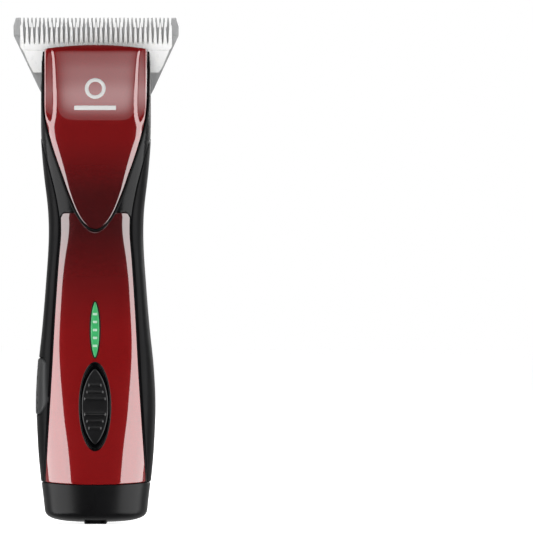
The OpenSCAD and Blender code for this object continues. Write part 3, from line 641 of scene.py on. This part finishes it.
FACET_IN = [[150, 17.4], [152.4, 17.1], [154, 16.1], [157, 15.2], [161, 15.0], [167, 15.1], [178, 15.7],
            [181.5, 16.3], [184, 17.2]]
FACET_OUT = [[150, 17.4], [152.4, 17.1], [155, 18.55], [160, 19.1], [184, 19.2]]
BEVELS = [[113, 0.45], [118, 0.6], [124, 0.9], [130, 1.3], [137, 2.0], [143, 2.3], [152, 1.6], [156, 1.2],
          [162, 0.9], [184, 0.85]]
facet_in, facet_out, bevel_w = curve(FACET_IN), curve(FACET_OUT), curve(BEVELS)
FACET_LOW = 152.5
FACET_SIDE = 20.0       # the facets' outer slope ends here
FACET_STEP = 1.0        # the deepest that a facet is sunk
COVER_CORNER = 1.45
COVER_PROUD = 0.25
BEVEL_DEEP = 0.55
RIM_LOW = 181.2
TOP_BOW = 1.35          # how much lower the top edge is at 18.6 to the side
BOW_HALF = 18.6
BOW_LOW = 168           # the rows bend from here up


def cover_edge(z):
    """The cover's half-width, drawn in at its upper corners."""
    return cover_half(z) - corner(COVER_CORNER, np.clip(z - (COVER_TOP - COVER_CORNER), 0, COVER_CORNER))


def cover_shape(x, z):
    """Depth of the bevel along the sides and of the rolled top rim."""
    bevel = np.clip(1 - (cover_half(z) - np.abs(x)) / bevel_w(z), 0, 1)
    rim = np.clip(z - RIM_LOW, 0, 3)
    return BEVEL_DEEP * bevel * np.clip((z - 114) / 10, 0.2, 1) + 0.10 * rim ** 2


def smooth_step(t):
    t = min(max(t, 0.0), 1.0)
    return t * t * (3 - 2 * t)


def sink_facets(obj):
    """Step the long facets on both sides of the nose down to a floor that faces the front."""
    for v in obj.data.vertices:
        x, y, z = abs(v.co.x) / MM, v.co.y / MM, v.co.z / MM
        inner, outer = float(facet_in(z)), float(facet_out(z))
        inside = y > float(front_y(min(x, 19.9), z, 1.3))
        if z < FACET_LOW or not inner < x < FACET_SIDE or inside:
            continue
        step = min((outer - inner) / 4, FACET_STEP)
        middle = (inner + outer) / 2
        target = float(front_y(middle, z)) + 0.05 + 0.1 * (x - middle)
        share = smooth_step((x - inner) / (1.1 * step)) * smooth_step((FACET_SIDE - x) / (FACET_SIDE - outer))
        v.co.y += (target - y) * share * step * MM


def build_nose_cover():
    point = [COVER_LOW + t ** 2 for t in np.linspace(0.05, math.sqrt(12), 16)]
    zs = point + spread(point[-1] + 0.8, COVER_TOP, 0.8, edge_low=False)
    z, a = rows_and_columns(zs, both_sides(cover_edge), 0.42)
    x = skin(z, a, 0)[..., 0]
    top = COVER_TOP - TOP_BOW * (x / BOW_HALF) ** 2
    z = np.where(z > BOW_LOW, BOW_LOW + (z - BOW_LOW) * (top - BOW_LOW) / (COVER_TOP - BOW_LOW), z)
    obj = skin_plate("nose_cover_skin", z, a, -COVER_PROUD, PANEL_DEEP, radius=0.35, shape=cover_shape)
    sink_facets(obj)
    place(obj, "housing", red, "red_cover", "nose_cover")


build_nose_cover()

SEAL_TOP = 177.75       # above this the cover's side leaves the body's surface
SEAL_TURNS = 133        # the seal follows the cover's side above this, and its point below
TURN_HALF = 12.3


def build_seal():
    """The black bead between the cover and what is round it."""
    side = [(cover_half(z) + 0.28, z) for z in np.linspace(SEAL_TOP, SEAL_TURNS, 56)]
    point = [(x + 0.25 * x / TURN_HALF, cover_v(x) - 0.45 - 0.2 * math.exp(-(x / 3) ** 2))
             for x in np.linspace(TURN_HALF, 0.0, 30)]
    path = side + point
    points = path + [(-x, z) for x, z in reversed(path[:-1])]
    line = [(x, float(front_y(x, z, 0.35)), z) for x, z in points]
    bead = tube_loop("nose_cover_bead", line, 0.5, closed=False)
    place(bead, "housing", seal_black, "seal", "nose_cover_seal")


build_seal()


# ---------------- outline of the release button

BUTTON_FRONT, BUTTON_BACK = -14.5, 5.5
BUTTON_LOW, BUTTON_HIGH = 42, 63.6
BUTTON_MIDDLE = 50          # corners below this are the larger ones
UPPER_CORNER, LOWER_CORNER = 3, 6.5
BUTTON_IN = -12.5           # openings for the button are cut in to this x


def button_outline(grow=0.0):
    """The button's outline in y and z: a rounded box with larger corners below."""
    front, back = BUTTON_FRONT - grow, BUTTON_BACK + grow
    low, high = BUTTON_LOW - grow, BUTTON_HIGH + grow
    upper, lower = UPPER_CORNER + grow, LOWER_CORNER + grow
    points = []
    for y, z, radius, start in ((back, high, upper, 0), (front, high, upper, 90), (front, low, lower, 180),
                                (back, low, lower, 270)):
        cy = y + radius * (1 if y < 0 else -1)
        cz = z + radius * (1 if z < BUTTON_MIDDLE else -1)
        for turn in np.linspace(start, start + 90, 18):
            u = math.radians(turn)
            points.append((cy + radius * math.cos(u), cz + radius * math.sin(u)))
    return dense(np.array(points + points[:1]), 0.45)


# ---------------- housings and grips

BLADE_TILT = math.radians(18)
HEEL = (13.3, 158.76)       # y and z of the blade's heel
HEAD_BACK = -5.5            # from the blade's plane to the head's rear edge
LINER_TOP = 178
THIN_STRIP = 0.7            # beside the panel, where the release button passes


def blade_plane_angle(z):
    """Section angle at which the head's wall ends in front of the blade."""
    along = (z - HEEL[1] - HEAD_BACK * math.sin(BLADE_TILT)) / math.cos(BLADE_TILT)
    y = HEEL[0] + HEAD_BACK * math.cos(BLADE_TILT) - along * math.sin(BLADE_TILT)
    depth = rear_d(z) if y > 0 else front_d(z)
    n = REAR_SQUARE if y > 0 else front_square(z)
    return math.copysign(math.degrees(math.asin(min(1.0, abs(y) / depth) ** (n / 2))), y)


def strip_ends(z):
    """Ends of the right-hand strip of the front housing that shows: the panel or the cover at the front, and
    the grip, the parting line or the blade at the back."""
    inner = panel_edge(z) + 0.2 if z < PANEL_TOP + 0.25 else cover_half(z) + GRIP_LINE
    start = float(front_angle(inner, z))
    if z >= REAR_TOP + 0.15:
        stop = blade_plane_angle(z)
    elif grip_in(z) < half_w(z):
        stop = float(front_angle(grip_in(z) - GAP, z))
    else:
        stop = 0.0
    return start, max(stop, start + 0.2)


def build_front_housing():
    beside_panel = spread(HOUSING_LOW, PANEL_TOP + 0.2, 1.6, edge_high=False)
    beside_cover = spread(PANEL_TOP + 0.3, REAR_TOP + GAP, 0.9, False, False)
    head = spread(REAR_TOP + 0.2, HEAD_TOP, 0.9, False)
    z, a = rows_and_columns(beside_panel + beside_cover + head, strip_ends, 0.8)
    inner = np.where(z < PANEL_TOP - 1.4, THIN_STRIP, WALL)
    right = skin_plate("strip_right", z, a, 0.0, inner, radius=0.3)
    left = mirror_x(right, "strip_left")
    liner_z = np.array(spread(HOUSING_LOW, LINER_TOP, 2.0, False, False))[:, None]
    liner_z, liner_a = np.broadcast_arrays(liner_z, np.linspace(-180, 0, 120)[None, :])
    liner = plate("liner", skin(liner_z, liner_a, 1.5), skin(liner_z, liner_a, 2.6))
    cut_prism(liner, button_outline(0.3), 0, FAR, BUTTON_IN)
    shell = joined([right, left, liner], "front_housing_shell")
    place(shell, "housing", black, "black_housing", "front_housing")


def build_rear_housing():
    def ends(z):
        gripped = grip_in(z) < half_w(z) and z < GRIP_TOP + GAP
        start = float(rear_angle(grip_in(z) - GAP, z)) if gripped else 0.0
        return start, 180 - start
    z, a = rows_and_columns(spread(HOUSING_LOW, REAR_TOP, 1.5), ends, 0.9)
    shell = skin_plate("rear_housing_shell", z, a, 0.0, WALL, radius=0.3)
    place(shell, "housing", black, "black_housing", "rear_housing")


def build_grips():
    """The rubber on both sides. The left one has an opening for the release button."""
    def ends(z):
        inner = min(float(grip_in(z)), float(half_w(z)) - 0.02)
        return float(front_angle(inner, z)), float(rear_angle(inner, z))
    zs = spread(HOUSING_LOW, GRIP_TOP - 1.6, 1.2)
    zs = zs[:-len(EDGE) + 1] + list(np.linspace(zs[-len(EDGE)] + 0.4, GRIP_TOP - 0.3, 8))
    z, a = rows_and_columns(zs, ends, 0.9)
    right = skin_plate("grip_right_skin", z, a, -0.15, 1.1, radius=0.6)
    left = cut_prism(mirror_x(right, "grip_left_cut"), button_outline(0.45), 0, FAR, BUTTON_IN)
    place(right, "housing", grip_rubber, "grip", "side_grip_right")
    place(left, "housing", grip_rubber, "grip", "side_grip_left")


build_rear_housing()
build_grips()


# ---------------- pieces on the front

def on_front(x, z, height):
    """Points that stand off the front by a height."""
    return np.stack([x, front_y(x, z) - height, z], -1)


def front_patch(name, half, z0, z1, step, lift, under=1.0):
    """A closed piece on the front. half(z) gives its half-width and lift(x, z, d) how far it stands off the
    body, where d is the distance to its edge."""
    columns = max(3, int(9.0 / step))
    zs = spread(z0, z1, step)
    rows = []
    for z in zs:
        w = max(float(half(z)), 0.02)
        edge = [w - e * min(1.0, w / 1.6) for e in EDGE]
        inner = list(np.linspace(-edge[-1], edge[-1], columns)[1:-1])
        rows.append([-x for x in edge] + inner + edge[::-1])
    x = np.array(rows)
    z = np.repeat(np.array(zs)[:, None], x.shape[1], 1)
    distance = border_distance(np.stack([x, np.zeros_like(x), z], -1))
    return plate(name, on_front(x, z, lift(x, z, distance)), on_front(x, z, -under))


def pointed(half, length, middle, fullness):
    """Half-width of a pointed oval. A fullness of 1 gives two arcs, and less gives rounder ends."""
    def width(z):
        return half * max(0.0, 1 - min(abs(z - middle) / length, 1) ** 2) ** fullness
    return width


LENS_HALF = (1.8, 10.8)      # half-width and half-height
LENS_FULL = 0.62
LENS_EDGE = 10.75           # half-height of the part that is built
CROWN_HALF = 1.75
CROWN = 0.3
MARKS = (80.6, 77.6, 74.5, 71.5, 68.45)
MARK_HALF = (0.82, 0.48)


def lens_crown(x):
    return CROWN * (1 - np.clip((x / CROWN_HALF) ** 2, 0, 1))


def build_lens():
    half = pointed(*LENS_HALF, LENS_Z, LENS_FULL)

    def lift(x, z, d):
        return 0.05 - fillet(d, 0.3) + lens_crown(x) * np.clip(d / 0.5, 0, 1)
    lens = front_patch("indicator_lens_crown", half, LENS_Z - LENS_EDGE, LENS_Z + LENS_EDGE, 0.5, lift)
    place(lens, "housing", green, "lens", "indicator_lens")


def build_gasket():
    half = pointed(*LENS_HALF, LENS_Z, LENS_FULL)
    line = []
    for u in np.linspace(0, 2 * math.pi, 120, endpoint=False):
        z = LENS_Z + LENS_EDGE * math.sin(u)
        x = math.copysign(half(z) + 0.14, math.cos(u))
        line.append((x, float(front_y(x, z)) - 0.02, z))
    place(tube_loop("lens_gasket", line, 0.24), "housing", seal_black, "seal")


def build_marks():
    """The gauge's five lit marks on the lens, their glow painted as a pale colour."""
    half_width, half_height = MARK_HALF

    def lift(x, z, d):
        return 0.1 + lens_crown(x) - fillet(d, 0.06)
    marks = []
    for z0 in MARKS:
        def half(z, z0=z0):
            return half_width - 0.15 * max(0.0, abs(z - z0) - 0.3) / 0.2
        marks.append(front_patch("mark", half, z0 - half_height, z0 + half_height, 0.25, lift, 0.2))
    place(joined(marks, "gauge_marks"), "housing", mark_glow, "led")


build_lens()
build_gasket()
build_marks()


def polar_patch(name, outline, rings, lift, to_surface, under=1.0, wall=None):
    """A closed piece inside an outline of (across, up) points. rings are shares of the way in from the
    outline (0) to the middle (1), and lift(across, up, d) is the height off the body. The side walls go in by
    under, square to the body, or by the offset wall."""
    middle = np.mean(outline, axis=0)
    count = len(outline)
    reach = np.linalg.norm(outline - middle, axis=1)
    flat = np.concatenate([middle + (outline - middle) * (1 - r) for r in rings])
    distance = distances(np.pad(flat, ((0, 0), (0, 1))), np.pad(outline, ((0, 0), (0, 1))))
    top = to_surface(flat[:, 0], flat[:, 1], lift(flat[:, 0], flat[:, 1], distance))
    peak = to_surface(middle[:1], middle[1:], lift(middle[:1], middle[1:], np.array([reach.min()])))
    if wall is None:
        bottom = to_surface(outline[:, 0], outline[:, 1], np.full(count, -under))
    else:
        bottom = to_surface(outline[:, 0], outline[:, 1], np.zeros(count)) + np.array(wall)
    faces = bands(len(rings), count)
    last, centre, low = (len(rings) - 1) * count, len(flat), len(flat) + 1
    for k in range(count):
        n = (k + 1) % count
        faces.append([last + k, last + n, centre])
        faces.append([k, low + k, low + n, n])
    faces.append([low + k for k in range(count)])
    return link(name, np.concatenate([top, peak, bottom]), faces)


def steps(*spans):
    """Shares from spans of (start, stop, count)."""
    values = []
    for start, stop, count in spans:
        values += list(np.linspace(start, stop, count, endpoint=False))
    return values


BEZEL = (6.25, 17.15)        # half-width and half-height
BEZEL_PROFILE = ((0, -0.02), (0.08, 0.08), (0.25, 0.16), (0.45, 0.16), (0.62, 0.08), (0.8, -0.2), (1.0, -0.5),
                 (1.3, -0.6), (9, -0.6))        # distance to the edge, height


def build_bezel():
    distances, heights = zip(*BEZEL_PROFILE)

    def lift(x, z, d):
        return np.interp(d, distances, heights)
    rings = steps((0, 0.17, 18), (0.17, 0.98, 10))
    obj = polar_patch("switch_bezel_ring", oval(*BEZEL, 180), rings, lift, on_front, WALL)
    place(obj, "housing", bezel_black, "bezel", "switch_bezel")


build_bezel()

PAD_HALF = (5.1, 14.45)
PAD_EDGE = 14.4             # half-height of the part that is built
PAD_CROWN = 0.9
HOLLOW_R = 8.0              # the round hollow for the thumb
PAD_RIBS = ((2.95, 3.75), (5.6, 2.85), (8.25, 2.1))      # distance from the middle, half-width
RIB_HALF = 0.55
RIB_HIGH = 0.42
RIB_END = 0.35


def build_pad():
    half = pointed(*PAD_HALF, SWITCH_Z, 0.72)

    def lift(x, z, d):
        u = z - SWITCH_Z
        hollow = np.sqrt(np.maximum(HOLLOW_R ** 2 - u ** 2, 0)) - 7.3
        height = PAD_CROWN - 0.3 * (x / PAD_HALF[0]) ** 2 - np.clip(hollow, 0, 1) * 0.75
        ribs = np.zeros_like(x)
        for at, half_long in PAD_RIBS:
            across = np.abs(np.abs(u) - at) / RIB_HALF
            along = np.clip((half_long + RIB_END - np.abs(x)) / RIB_END, 0, 1)
            ribs = np.maximum(ribs, RIB_HIGH * np.sqrt(np.maximum(1 - across ** 2, 0)) * along)
        return height + ribs - fillet(d, 0.4)
    obj = front_patch("switch_pad_ribbed", half, SWITCH_Z - PAD_EDGE, SWITCH_Z + PAD_EDGE, 0.16, lift, 0.5)
    place(obj, "switch", pad_black, "switch", "switch_pad")


build_pad()

# the ring's profile is given as radius and height above the cover
RING_Z = 167
RING_PROFILE = ((4.0, -0.1), (4.0, 0.08), (3.93, 0.13), (2.67, 0.13), (2.6, 0.08), (2.6, -0.1))
BAR_Z = 159.55
BAR_HALF = (8.0, 0.85)


def build_badge():
    """A plain ring over a plain bar, on the nose cover."""
    count = 96
    points = []
    for radius, height in RING_PROFILE:
        for u in np.linspace(0, 2 * math.pi, count, endpoint=False):
            x, z = radius * math.cos(u), RING_Z + radius * math.sin(u)
            points.append((x, float(front_y(x, z)) - COVER_PROUD - height, z))
    ring = link("badge_ring", points, bands(len(RING_PROFILE), count, wrap=True))

    def half(z):
        return BAR_HALF[0] - 0.25 * max(0.0, abs(z - BAR_Z) - 0.6)

    def lift(x, z, d):
        return COVER_PROUD + 0.13 - fillet(d, 0.07)
    bar = front_patch("badge_bar", half, BAR_Z - BAR_HALF[1], BAR_Z + BAR_HALF[1], 0.4, lift, -0.15)
    place(joined([ring, bar], "nose_badge_ring_and_bar"), "housing", badge_grey, "badge", "nose_badge")


build_badge()


# ---------------- battery release button


BUTTON_PROUD = 0.45
CHEVRON_AT = (-4.2, 53)     # y and z between the two groups
CHEVRON_DEEP = 0.6


def side_x(y, z, height):
    """The left side of the body at y and z."""
    n = np.where(y < 0, front_square(z), REAR_SQUARE)
    depth = np.where(y < 0, front_d(z), rear_d(z))
    return -(half_w(z) + height) * (1 - np.minimum(np.abs(y) / (depth + height), 0.999) ** n) ** (1 / n)


def on_left(y, z, height):
    """Points that stand off the left side by a height."""
    return np.stack([side_x(y, z, height), y, z], -1)


def chevrons(y, z):
    """How deep the grooves are at y and z, from 0 to 1: three chevrons up and three down."""
    groove = np.zeros_like(y)
    for up, k, side in itertools.product((-1, 1), range(3), (-1, 1)):
        turn = math.radians(side * up * 38)
        dy = y - (CHEVRON_AT[0] + side * 2.2)
        dz = z - (CHEVRON_AT[1] + up * (2 + 3 * k))
        along = np.abs(dy * math.cos(turn) + dz * math.sin(turn))
        across = np.abs(-dy * math.sin(turn) + dz * math.cos(turn))
        groove = np.maximum(groove, np.clip(1.5 - across / 0.36, 0, 1) * np.clip((3.1 - along) / 0.3, 0, 1))
    return groove


def build_release_button():
    def lift(y, z, d):
        return BUTTON_PROUD - fillet(d, 0.7) - CHEVRON_DEEP * chevrons(y, z)
    rings = steps((0, 0.1, 9), (0.1, 0.97, 52))
    obj = polar_patch("release_button_cap", button_outline(), rings, lift, on_left, wall=(0.8, 0, 0))
    place(obj, "release", button_grey, "button", "release_button")


build_release_button()
build_front_housing()


# ---------------- battery cap

BASE_Z = 0.6
ROUND = 5.4             # height of the rounded base
ROUND_POWER = 3.2
CAP_WALL = 1.9
CAP_FLOOR = 2.4
DIP_FROM = 9            # the rows start to follow the seam's dip at this height
BASE_ROWS = (0.001, 0.02, 0.06, 0.12, 0.2, 0.3, 0.42, 0.55, 0.7, 0.85, 1.0)      # shares of ROUND
CAP_ROWS = [7.2, 8.6, 10, 11.4, 12.8, 14]
CAP_ANGLES = np.concatenate([np.linspace(-89, 269, 180), [269.4, 269.7, 270, 270.3, 270.6]])
MOULD_LINE = -3         # the point in the middle of the front, in CAP_ANGLES
STADIUM_SIDE = 7.35     # middles of the battery case's two round ends
STADIUM_Y = 3.5
RAIL_HALF = (4.3, 10.95)
RAIL_HIGH = 2.3
RAIL_SIDE = 1.7         # inner face of the rail's two sides
RAIL_LANDS = ((-10.95, -7.7), (-2.3, 2.3), (7.7, 10.95))     # y ranges between the charging pockets
LAND_HALF = 3.4
POCKET_DEEP = 1.2


def cap_ring(z, off, top_side):
    """One ring of the cap at a height, bent down along the front where the seam dips."""
    a = CAP_ANGLES
    base = skin(np.full_like(a, z), a, 0)
    drawn_in = (1 - (1 - np.clip((z - BASE_Z) / ROUND, 0, 1)) ** ROUND_POWER) ** (1 / ROUND_POWER)
    c, s = np.cos(np.radians(a)), np.sin(np.radians(a))
    power = 2 / np.where(s < 0, front_square(z), REAR_SQUARE)
    depth = np.where(s < 0, front_d(z), rear_d(z))
    x = (half_w(z) * drawn_in - off) * np.sign(c) * np.abs(c) ** power
    y = (depth * drawn_in - off) * np.sign(s) * np.abs(s) ** power
    drop = np.where(s < 0, seam_dip(base[:, 0]), 0)
    return np.stack([x, y, z - drop * np.clip((z - DIP_FROM) / (top_side - DIP_FROM), 0, 1)], -1)


def build_cap_shell():
    top = SEAM - GAP
    zs = [BASE_Z + ROUND * u for u in BASE_ROWS] + CAP_ROWS + [top - e for e in reversed(EDGE)]
    groove = np.zeros(len(CAP_ANGLES))
    groove[MOULD_LINE] = 0.04
    outer = [cap_ring(z, float(fillet(np.array(top - z), 0.35)) + groove * (z > 2.5), top) for z in zs]
    inner = [cap_ring(max(z, CAP_FLOOR), CAP_WALL, top) for z in zs[::-1]]
    rings = outer + [ring for ring in inner if ring[0][2] >= CAP_FLOOR]
    count = len(CAP_ANGLES)
    faces = bands(len(rings), count)
    faces.append(list(range(count)))
    faces.append([(len(rings) - 1) * count + k for k in range(count)])
    return sharp(link("cap_shell", np.concatenate(rings), faces), 50)


def stadium_wall(outer_r, inner_r, low, high):
    """The wall that holds the battery case in the cap."""
    points = []
    profile = ((outer_r, low), (outer_r, high), (inner_r, high), (inner_r, low))
    for (radius, z), side in itertools.product(profile, (1, -1)):
        for turn in np.linspace(0, 180, 25):
            u = math.radians(turn - 90 * side)
            points.append((side * STADIUM_SIDE + radius * math.cos(u), STADIUM_Y + radius * math.sin(u), z))
    faces = bands(len(profile), len(points) // len(profile), wrap=True)
    return sharp(link("cap_rib", points, faces), 30)


def build_cap():
    obj = joined([build_cap_shell(), stadium_wall(9.5, 8.32, 2.35, 8.2)], "battery_cap_shell")
    place(obj, "battery", cap_black, "cap", "battery_cap")


def rounded_block(low, high, radius):
    """A block between two corners with rounded edges."""
    mesh = bpy.data.meshes.new("rail_block")
    work = bmesh.new()
    bmesh.ops.create_cube(work, size=1)
    size = [b - a for a, b in zip(low, high)]
    for v in work.verts:
        v.co = Vector([(a + b) / 2 + c * s for a, b, c, s in zip(low, high, v.co, size)]) * MM
    bmesh.ops.bevel(work, geom=work.edges[:], offset=radius * MM, segments=3, affect="EDGES", profile=0.5)
    work.to_mesh(mesh)
    work.free()
    mesh.shade_smooth()
    return sharp(add("rail_block", mesh), 50)


def build_rail():
    """The rail that the clipper stands on, with a pocket for each charging plate."""
    half_x, half_y = RAIL_HALF
    blocks = [rounded_block((low, -half_y, 0), (high, half_y, RAIL_HIGH), 0.4)
              for low, high in ((-half_x, -RAIL_SIDE), (RAIL_SIDE, half_x))]
    for y0, y1 in RAIL_LANDS:
        blocks.append(rounded_block((-LAND_HALF, y0, 0.03), (LAND_HALF, y1, RAIL_HIGH - 0.03), 0.3))
    blocks.append(rounded_block((-LAND_HALF, -10, POCKET_DEEP), (LAND_HALF, 10, RAIL_HIGH - 0.1), 0.1))
    place(joined(blocks, "contact_rail_moulding"), "battery", cap_black, "cap", "contact_rail")


build_cap()
build_rail()


# ---------------- light, floor and camera

def area(name, location, target_z, size, power, diffuse=True, glossy=True):
    """A rectangular light that faces the clipper at a height."""
    light = bpy.data.lights.new(name, "AREA")
    light.shape = "RECTANGLE"
    light.size, light.size_y = size
    light.energy = power
    obj = add(name, light)
    obj.location = location
    obj.rotation_euler = (Vector((0, 0, target_z)) - Vector(location)).to_track_quat("-Z", "Y").to_euler()
    obj.visible_diffuse, obj.visible_glossy, obj.visible_camera = diffuse, glossy, False
    return obj


def soft_light(light):
    """Make an area light round, and fade it from its middle outwards."""
    light.shape = "ELLIPSE"
    light.use_nodes = True
    tree = light.node_tree
    on_light = tree.nodes.new("ShaderNodeNewGeometry").outputs["Parametric"]
    shift = tree.nodes.new("ShaderNodeVectorMath")
    shift.operation = "SUBTRACT"
    shift.inputs[1].default_value = (0.5, 0.5, 0.0)
    length = tree.nodes.new("ShaderNodeVectorMath")
    length.operation = "LENGTH"
    fade = tree.nodes.new("ShaderNodeMapRange")
    fade.interpolation_type = "SMOOTHERSTEP"
    for key, number in (("From Min", 0.0), ("From Max", 0.5), ("To Min", 1.0), ("To Max", 0.16)):
        fade.inputs[key].default_value = number
    tree.links.new(on_light, shift.inputs[0])
    tree.links.new(shift.outputs["Vector"], length.inputs[0])
    tree.links.new(length.outputs["Value"], fade.inputs["Value"])
    tree.links.new(fade.outputs["Result"], tree.nodes["Emission"].inputs["Strength"])


SIDE_AT = math.radians(70)       # how far round from the front the two tall boxes stand
SIDE_AWAY = 0.8
BODY_MIDDLE = 0.1
for side in (-1, 1):
    spot = (side * SIDE_AWAY * math.sin(SIDE_AT), -SIDE_AWAY * math.cos(SIDE_AT), BODY_MIDDLE)
    area("tall_box", spot, BODY_MIDDLE, (1.13, 1.5), 17.5, diffuse=False)
front_box = area("front_box", (0.03, -0.845, 0.76), 0.17, (0.95, 0.9), 3.9, diffuse=False)
soft_light(front_box.data)
area("key", (-0.35, -1.6, 0.95), 0.09, (1.2, 1.2), 19, glossy=False)
area("rear_fill", (0.5, 1.6, 0.8), 0.09, (1.2, 1.2), 14)


def build_world():
    """A white background for the camera, and a dim room that is lighter behind for everything else."""
    world = bpy.data.worlds.new("studio")
    world.use_nodes = True
    tree = world.node_tree
    direction = tree.nodes.new("ShaderNodeTexCoord").outputs["Generated"]
    split = tree.nodes.new("ShaderNodeSeparateXYZ")
    room = tree.nodes.new("ShaderNodeMapRange")
    for key, number in (("From Min", -0.3), ("From Max", 1.0), ("To Min", 0.02), ("To Max", 0.45)):
        room.inputs[key].default_value = number
    seen = tree.nodes.new("ShaderNodeLightPath").outputs["Is Camera Ray"]
    choose = tree.nodes.new("ShaderNodeMix")
    choose.inputs["B"].default_value = 1.0
    tree.links.new(direction, split.inputs["Vector"])
    tree.links.new(split.outputs["Y"], room.inputs["Value"])
    tree.links.new(seen, choose.inputs["Factor"])
    tree.links.new(room.outputs["Result"], choose.inputs["A"])
    background = tree.nodes["Background"]
    background.inputs["Color"].default_value = (1, 1, 1, 1)
    tree.links.new(choose.outputs["Result"], background.inputs["Strength"])
    bpy.context.scene.world = world


build_world()

FLOOR_HALF = 6


def build_floor():
    """A white sheet. The body mirrors the studio and not the sheet."""
    corners = [(x * FLOOR_HALF, y * FLOOR_HALF, 0) for x, y in ((-1, -1), (1, -1), (1, 1), (-1, 1))]
    mesh = bpy.data.meshes.new("floor")
    mesh.from_pydata(corners, [], [(0, 1, 2, 3)])
    floor = add("floor", mesh)
    paper = Shader("floor_paper", Emission_Strength=0.85)
    paper.shader.inputs["Emission Color"].default_value = (1, 1, 1, 1)
    paper.colour(paper.ramp(paper.noise(30), [(0.3, (0.80, 0.80, 0.80)), (0.7, (0.82, 0.82, 0.82))]))
    paper.rough(paper.remap(paper.noise(60), 0.6, 0.8))
    mesh.materials.append(paper.material)
    floor.visible_glossy = False


build_floor()

VIEW_WIDTH = 0.2052             # of the picture, at the clipper
VIEW_MIDDLE = (0.0656, 0.0988)      # x and z
camera = bpy.data.cameras.new("camera")
camera.sensor_width = 36
camera.lens = 500
camera.clip_end = 40
camera_object = add("camera", camera)
camera_object.location = (VIEW_MIDDLE[0], -VIEW_WIDTH * camera.lens / camera.sensor_width, VIEW_MIDDLE[1])
camera_object.rotation_euler = (math.pi / 2, 0, 0)
bpy.context.scene.camera = camera_object
bpy.context.scene.view_settings.view_transform = "Standard"
